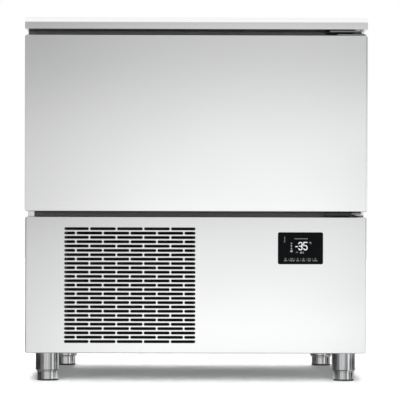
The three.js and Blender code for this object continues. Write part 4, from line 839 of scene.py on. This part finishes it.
def make_condenser(materials):
    """The finned block behind the slots: fine wavy fins in a frame of plates, in black paint as coated
    fins have, and made dark as painted shade for the shaded inside seen through the slots.
    """
    low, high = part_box("condenser_coil")
    left, right = low.x + BENDS_WIDTH, high.x
    front, depth = low.y + FIN_INSET, high.y - low.y - 2 * FIN_INSET
    ends = (low.z + FIN_ENDS, high.z - FIN_ENDS)
    bm = bmesh.new()
    for k in range(1, int((right - left) / FIN_PITCH)):
        rows = []
        for step in range(FIN_WAVES + 1):
            x = left + k * FIN_PITCH + FIN_WAVE * (1 if step % 2 else -1)
            y = front + depth * step / FIN_WAVES
            rows.append([bm.verts.new((x, y, z)) for z in ends])
        for first, second in zip(rows, rows[1:]):
            bm.faces.new((first[0], second[0], second[1], first[1]))
    for x in (left, right - END_PLATE):
        add_box(bm, (x, low.y, low.z), (x + END_PLATE, high.y, high.z))
    for z in (low.z, high.z - FRAME_SHEET):
        add_box(bm, (left, low.y, z), (right, high.y, z + FRAME_SHEET))
    mesh = mesh_from(bm, "condenser_block", smooth=False)
    new_piece(
        # black paint here is partly painted shade: it keeps the slots as dark as the shaded inside
        "condenser_block", mesh, "cabinet", materials["black_paint"],
        ["condenser_coil"],
    )


# ------------------------------------------------------------------ door gasket

GASKET_STEPS = 10
GASKET_CORNER = 32 * MM
# the seal's section in millimetres, (inset from its outline, depth from its front), as a ring:
# its root, one bellows fold, and a round-shouldered magnet lip
GASKET_SECTION = (
    (3.2, 0.0), (14.8, 0.0), (14.8, 1.6), (13.0, 2.1), (12.2, 2.9), (13.4, 3.7),
    (16.2, 4.2), (17.5, 4.9), (18.0, 5.9), (18.0, 8.3), (17.5, 9.4), (16.4, 10.0),
    (1.6, 10.0), (0.5, 9.4), (0.0, 8.3), (0.0, 5.9), (0.5, 4.9), (1.8, 4.2),
    (4.6, 3.7), (5.8, 2.9), (5.0, 2.1), (3.2, 1.6),
)


def make_gasket(materials):
    """The door's magnetic seal: one section swept round the door."""
    low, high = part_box("door_gasket")
    bm = bmesh.new()
    rows = []
    for inset, depth in GASKET_SECTION:
        inset *= MM
        outline = rounded(
            low.x + inset, high.x - inset, low.z + inset, high.z - inset,
            GASKET_CORNER - inset, GASKET_STEPS,
        )
        rows.append(ring_of(bm, outline, low.y + depth * MM))
    for first, second in zip(rows, rows[1:] + rows[:1]):
        bridge(bm, first, second)
    new_piece(
        "gasket_seal", mesh_from(bm, "gasket_seal", sharp=50), "door", materials["rubber"],
        ["door_gasket"],
    )


# ------------------------------------------------------------------ display

PRINT_LIFT = 0.06 * MM  # in front of the glass


def shape_mesh(shapes, y):
    """Flat filled outlines at one depth."""
    bm = bmesh.new()
    for outline in shapes:
        bm.faces.new([bm.verts.new((u, y, v)) for u, v in outline])
    return mesh_from(bm, "shapes", smooth=False)


def disc(u, v, radius, sides=20):
    step = 2 * math.pi / sides
    return [(u + radius * math.cos(k * step), v + radius * math.sin(k * step)) for k in range(sides)]


def arc_strip(u, v, radius, width, start, end, steps=14):
    """Quads along an arc, angles in degrees."""
    quads = []
    for k in range(steps):
        a, b = (math.radians(start + (end - start) * (k + t) / steps) for t in (0, 1))
        ring = [(radius, a), (radius, b), (radius - width, b), (radius - width, a)]
        quads.append([(u + r * math.cos(t), v + r * math.sin(t)) for r, t in ring])
    return quads


def bar(u, v, width, height, lean=0.0):
    """A rectangle about its centre, leaning by an angle in degrees."""
    c, s = math.cos(math.radians(lean)), math.sin(math.radians(lean))
    corners = [(-1, -1), (1, -1), (1, 1), (-1, 1)]
    points = [(i * width / 2, j * height / 2) for i, j in corners]
    return [(u + a * c - b * s, v + a * s + b * c) for a, b in points]


def numeral_three(u, v, width, height, stroke):
    """Two bowls of a condensed 3 from its bottom left corner (u, v)."""
    radius = width / 2
    inner = radius - stroke
    quads = []
    for low, start, end in ((v + radius, -180, 60), (v + height - radius, -60, 180)):
        quads += arc_strip(u + radius, low, radius, stroke, start, end, 16)
    straight = height / 2 - radius
    middle = v + height / 2
    for sign in (-1, 1):
        quads.append(bar(u + width - stroke / 2, middle + sign * straight / 2, stroke, straight * 0.8))
    quads.append(bar(u + radius, middle, width - stroke - 0.3 * inner, stroke * 0.9))
    return quads


def numeral_five(u, v, width, height, stroke):
    """A condensed 5 from its bottom left corner (u, v): flag, stem and bowl."""
    radius = width / 2
    bowl_top = v + height * 0.62
    quads = arc_strip(u + radius, v + radius, radius, stroke, -180, 0, 16)
    quads += arc_strip(u + radius, bowl_top - radius, radius, stroke, 0, 120, 12)
    side = bowl_top - v - 2 * radius
    quads.append(bar(u + width - stroke / 2, v + radius + side / 2, stroke, side + 0.1))
    stem = v + height - bowl_top + stroke
    quads.append(bar(u + stroke / 2, v + height - stem / 2, stroke * 0.94, stem))
    quads.append(bar(u + width / 2, v + height - stroke / 2, width * 0.94, stroke))
    return quads


def make_display(materials):
    """A generic reading and generic marks, drawn in millimetres from the middle of the glass."""
    low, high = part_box("display_glass")
    mid_u, mid_v = (low.x + high.x) / 2, (low.z + high.z) / 2

    def printed(name, shapes, look):
        placed = [[(mid_u + u * MM, mid_v + v * MM) for u, v in outline] for outline in shapes]
        mesh = shape_mesh(placed, low.y - PRINT_LIFT)
        new_piece(name, mesh, "cabinet", materials[look])

    # the number with its minus sign
    base, tall, stroke = -4.8, 19.8, 2.35
    bright = [bar(-9.1, 3.9, 5.8, 2.2)]
    bright += numeral_three(-5.2, base, 10.2, tall, stroke)
    bright += numeral_five(6.5, base, 10.0, tall, stroke)
    printed("display_number", bright, "display_white")

    # the degree sign and its letter, three lamps on the left, a dot and an open ring below
    grey = [
        *arc_strip(21.2, 13.6, 1.5, 0.6, 0, 360), *arc_strip(24.6, 12.4, 2.2, 0.7, 50, 310, 10),
        disc(-21.1, 11.3, 1.6), disc(-21.1, 5.5, 1.7), disc(-21.1, -0.1, 1.6),
        disc(1.2, -10.1, 2.2), *arc_strip(7.1, -10.1, 2.4, 1.0, 60, 300),
    ]
    printed("display_marks", grey, "display_grey")

    # a snowflake: three crossed bars on a disc
    snow = [bar(-21.1, -6.5, 0.9, 7.0, lean) for lean in (0, 60, 120)]
    snow.append(disc(-21.1, -6.5, 2.0))
    printed("display_snowflake", snow, "display_snow")

    # a chevron, a scale at the upper left, a line of dashes above the number
    dim = [bar(-9.6, -9.2, 0.8, 4.2, -38), bar(-7.2, -9.2, 0.8, 4.2, 38)]
    dim += [bar(-37.2 + k % 2 * 0.6, 14.2 + 2.0 * k, 2.2, 0.9) for k in range(7)]
    dim += [bar(-12.6 + 3.5 * k, 22.3, 2.2, 1.7) for k in range(9)]
    # the menu along the lower edge: six marks over dashes, with a slanted line between two
    half_widths = (4.0, 6.2, 3.6, 4.0, 3.6, 5.4)
    for k, (u, half) in enumerate(zip((-34.9, -20.2, -6.3, 7.1, 20.4, 34.7), half_widths)):
        dim += [bar(u + t * half, -29.1, half * 0.55, 1.6) for t in (-0.66, 0, 0.66)]
        if k % 3 == 0:
            dim += arc_strip(u, -24.6, 1.9, 0.7, 0, 360)
        elif k % 3 == 1:
            dim += [bar(u + t, -24.6, 0.9, 3.4) for t in (-2.6, 0, 2.6)]
        else:
            dim += [bar(u, -24.6, 3.8, 0.9), bar(u, -23.5, 0.9, 1.2), bar(u, -25.7, 0.9, 1.2)]
    dim += [bar(u, -26.4, 0.4, 6.6, -8) for u in (-27.9, -13.2, 0.4, 13.8, 27.4)]
    printed("display_menu", dim, "display_dim")


# ------------------------------------------------------------------ studio

FLOOR_REACH = 14.0  # half of its side
DRUM_RADIUS = 3.2
DRUM_SIDES = 96
DRUM_HEIGHTS = (-3.0, 4.4)
WHITE = (1.0, 1.0, 1.0)
FILL_LEVEL = 0.1  # from the sky onto matt surfaces
SKY_LEVEL = 1.14  # sky in reflections
SHADE_LEVEL = 0.12  # the floor under the machine, in reflections
SHADE_REACH = 0.06  # how far it goes past the front, for the panel's lower fold
SHADE_DEPTH = -0.06  # low enough for the legs' flat reflections to pass above it
SHADOW_FILL = 0.13  # share of the floor that stays white under the machine
# soft lamps in front and behind: strength, height and angular size in degrees
LAMP_ROWS = ((1.25, 16, 6), (1.1, 23.5, 7), (1.34, 36, 12), (0.84, 55, 18))
LAMP_SPREAD = 4  # degrees to either side, which softens the shadow's ends
BACK_SHARE = 0.56  # of each row's strength, from behind
TOP_LAMP = (0.7, 90, 14)
LOW_LAMP = (1.5, 3, 5)  # reaches the plastic at the back of the door gaps

# the wall's level against height: light low down, darker above the machine's top
UPRIGHT = (
    (-3.0, 0.9), (-1.9, 0.8), (-1.45, 0.12), (-1.2, 0.15), (-0.8, 1.4), (-0.1, 1.75), (0.25, 1.2),
    (0.62, 1.12), (0.82, 0.94), (1.0, 0.68), (1.3, 0.66), (1.8, 0.9), (2.4, 1.1), (4.4, 1.15),
)
# share of that level against the direction round the machine in degrees, 0 in front
AROUND = (
    (-180, 0.8), (-140, 0.8), (-115, 0.3), (-50, 0.3), (-38, 0.8), (-24, 0.55), (-9, 0.64),
    (-3, 0.97), (4, 1.0), (9, 1.08), (14, 1.08), (18, 0.35), (33, 0.35), (41, 1.2), (56, 1.2),
    (66, 0.5), (80, 0.9), (140, 0.8), (180, 0.8),
)
# lamps (direction, half width, level) in the low part of the wall, which the legs mirror
LOW_BASE = 0.04
LOW_LAMPS = (
    (-150, 18, 0.22), (-52, 14, 0.2), (-18, 17, 0.86), (8, 10, 0.6), (28, 11, 0.34), (47, 7, 1.3),
    (62, 6, 0.2), (77, 6, 0.38), (130, 20, 0.66),
)
LAMP_EDGE = 4  # degrees over which a lamp fades out, each way
LOW_EDGES = (-0.22, -0.195, -0.075, -0.055)  # heights where the low part fades in and out
# darker patches: direction, half width and edge in degrees, then height, half width and
# edge in metres, and the share taken away
PATCHES = (
    ((12, 14, 10), (3.45, 0.4, 0.2), 0.4),  # high in front
    ((-16, 7, 2.2), (-0.3, 0.4, 0.15), 0.38),  # low on the left
    ((17, 7, 2.5), (0.1, 0.5, 0.25), 0.2),  # low on the right
)


def unlit(obj):
    """Shown to reflections only."""
    obj.visible_camera = False
    obj.visible_diffuse = False
    obj.visible_transmission = False
    obj.visible_volume_scatter = False
    obj.visible_shadow = False


def make_world():
    """An even sky: white to the camera, bright in reflections, and dim on matt surfaces."""
    world = bpy.data.worlds.new("studio")
    bpy.context.scene.world = world
    world.use_nodes = True
    tree = world.node_tree
    tree.nodes.clear()
    rays = tree.nodes.new("ShaderNodeLightPath").outputs
    level = mixed(tree, rays["Is Glossy Ray"], FILL_LEVEL, SKY_LEVEL)
    seen = maths_node(tree, "MAXIMUM", rays["Is Camera Ray"], rays["Is Transmission Ray"])
    background = tree.nodes.new("ShaderNodeBackground")
    background.inputs["Color"].default_value = (*WHITE, 1)
    tree.links.new(mixed(tree, seen, level, 1.0), background.inputs["Strength"])
    output = tree.nodes.new("ShaderNodeOutputWorld")
    tree.links.new(background.outputs[0], output.inputs["Surface"])


def make_floor():
    """The white ground: it takes the shadow, and a share of it stays white."""
    bm = bmesh.new()
    bmesh.ops.create_grid(bm, x_segments=1, y_segments=1, size=FLOOR_REACH)
    floor = bpy.data.objects.new("floor", mesh_from(bm, "floor", smooth=False))
    bpy.context.scene.collection.objects.link(floor)
    material = bpy.data.materials.new("floor")
    material.use_nodes = True
    tree = material.node_tree
    tree.nodes.clear()
    mix = tree.nodes.new("ShaderNodeMixShader")
    mix.inputs["Fac"].default_value = SHADOW_FILL
    for index, kind in ((1, "ShaderNodeBsdfDiffuse"), (2, "ShaderNodeEmission")):
        part = tree.nodes.new(kind)
        part.inputs["Color"].default_value = (*WHITE, 1)
        tree.links.new(part.outputs[0], mix.inputs[index])
    output = tree.nodes.new("ShaderNodeOutputMaterial")
    tree.links.new(mix.outputs[0], output.inputs["Surface"])
    floor.data.materials.append(material)
    floor.visible_glossy = False


def glowing(name, bm):
    """An object that only glows, its node tree and the socket of its strength."""
    made = bpy.data.objects.new(name, mesh_from(bm, name, smooth=False))
    bpy.context.scene.collection.objects.link(made)
    material = bpy.data.materials.new(name)
    material.use_nodes = True
    tree = material.node_tree
    tree.nodes.clear()
    glow = tree.nodes.new("ShaderNodeEmission")
    output = tree.nodes.new("ShaderNodeOutputMaterial")
    tree.links.new(glow.outputs[0], output.inputs["Surface"])
    made.data.materials.append(material)
    unlit(made)
    return made, tree, glow.inputs["Strength"]


def levels_at(tree, stops, low, high, value):
    """Levels blended between (place, level) stops; a ramp holds them halved, as some pass 1."""
    made = tree.nodes.new("ShaderNodeValToRGB")
    tree.links.new(ramped(tree, value, low, high), made.inputs["Fac"])
    elements = made.color_ramp.elements
    while len(elements) < len(stops):
        elements.new(0.5)
    for element, (place, level) in zip(elements, sorted(stops)):
        element.position = (place - low) / (high - low)
        element.color = (level / 2, level / 2, level / 2, 1)
    return maths_node(tree, "MULTIPLY", made.outputs["Color"], 2.0)


def drum_level(tree):
    """The drum's light by height and direction: the wall, its patches and the low lamps."""
    maths = partial(maths_node, tree)

    def window(value, middle, half, edge):
        """1 within half of the middle, fading to 0 over the edge, each way."""
        off = maths("ABSOLUTE", maths("SUBTRACT", value, middle))
        return ramped(tree, off, half + edge, half - edge, eased=True)

    coords = tree.nodes.new("ShaderNodeTexCoord")
    parts = tree.nodes.new("ShaderNodeSeparateXYZ")
    tree.links.new(coords.outputs["Object"], parts.inputs["Vector"])
    height = parts.outputs["Z"]
    turn = maths("ARCTAN2", parts.outputs["X"], maths("MULTIPLY", parts.outputs["Y"], -1.0))
    degrees = maths("MULTIPLY", turn, 180 / math.pi)
    upper = maths(
        "MULTIPLY",
        levels_at(tree, UPRIGHT, *DRUM_HEIGHTS, height),
        levels_at(tree, AROUND, -180, 180, degrees),
    )
    for across, along, depth in PATCHES:
        patch = maths("MULTIPLY", window(degrees, *across), window(height, *along))
        upper = maths("MULTIPLY", upper, maths("SUBTRACT", 1.0, maths("MULTIPLY", patch, depth)))
    lower = LOW_BASE
    for direction, half_width, level in LOW_LAMPS:
        share = window(degrees, direction, half_width, LAMP_EDGE)
        lower = maths("ADD", lower, maths("MULTIPLY", share, level))
    low_start, low_full, low_fading, low_end = LOW_EDGES
    low_share = maths(
        "MULTIPLY",
        ramped(tree, height, low_start, low_full),
        ramped(tree, height, low_end, low_fading),
    )
    return mixed(tree, low_share, upper, lower)


def make_drum():
    """A round wall of soft light with a bottom, about the machine, shown to reflections only."""
    bm = bmesh.new()
    rows = []
    for z in DRUM_HEIGHTS:
        row = []
        for k in range(DRUM_SIDES):
            turn = 2 * math.pi * k / DRUM_SIDES
            row.append(bm.verts.new((DRUM_RADIUS * math.sin(turn), -DRUM_RADIUS * math.cos(turn), z)))
        rows.append(row)
    bridge(bm, *rows)
    bm.faces.new(rows[0])
    drum, tree, strength = glowing("drum", bm)
    tree.links.new(drum_level(tree), strength)


def make_floor_shade():
    """The shaded floor under the machine, as its underside mirrors it."""
    bm = bmesh.new()
    low, high = cad_box
    front = low[1] - SHADE_REACH
    corners = ((low[0], front), (high[0], front), (high[0], high[1]), (low[0], high[1]))
    bm.faces.new([bm.verts.new((x, y, SHADE_DEPTH)) for x, y in corners])
    shaded, _, strength = glowing("floor_shade", bm)
    strength.default_value = SHADE_LEVEL


def make_lamps():
    """Broad soft lamps, seen only by matt surfaces; the shadow stays under the machine."""
    placed = [(row, 0) for row in (TOP_LAMP, LOW_LAMP)]
    for strength, height, size in LAMP_ROWS:
        for middle, share in ((0, 1 - BACK_SHARE), (180, BACK_SHARE)):
            for turn in (-LAMP_SPREAD, LAMP_SPREAD):
                placed.append(((strength * share, height, size), middle + turn))
    for (strength, height, size), direction in placed:
        name = f"lamp_{direction}_{height}".replace(".", "_")
        data = bpy.data.lights.new(name, "SUN")
        data.energy = strength
        data.angle = math.radians(size)
        lamp = bpy.data.objects.new(name, data)
        lamp.rotation_euler = (math.radians(90 - height), 0, math.radians(direction))
        lamp.visible_glossy = False
        bpy.context.scene.collection.objects.link(lamp)


# ------------------------------------------------------------------ build

make_camera()
paints = make_materials()
dress_nodes(paints)
make_front_panel(paints)
make_door_skin(paints)
make_gap_shade_blocks(paints)
make_hinge_shade_strip(paints)
make_screws(paints)
make_legs(paints)
make_condenser(paints)
make_gasket(paints)
make_display(paints)
make_world()
make_floor()
make_drum()
make_floor_shade()
make_lamps()
bpy.context.scene.view_settings.view_transform = "Standard"
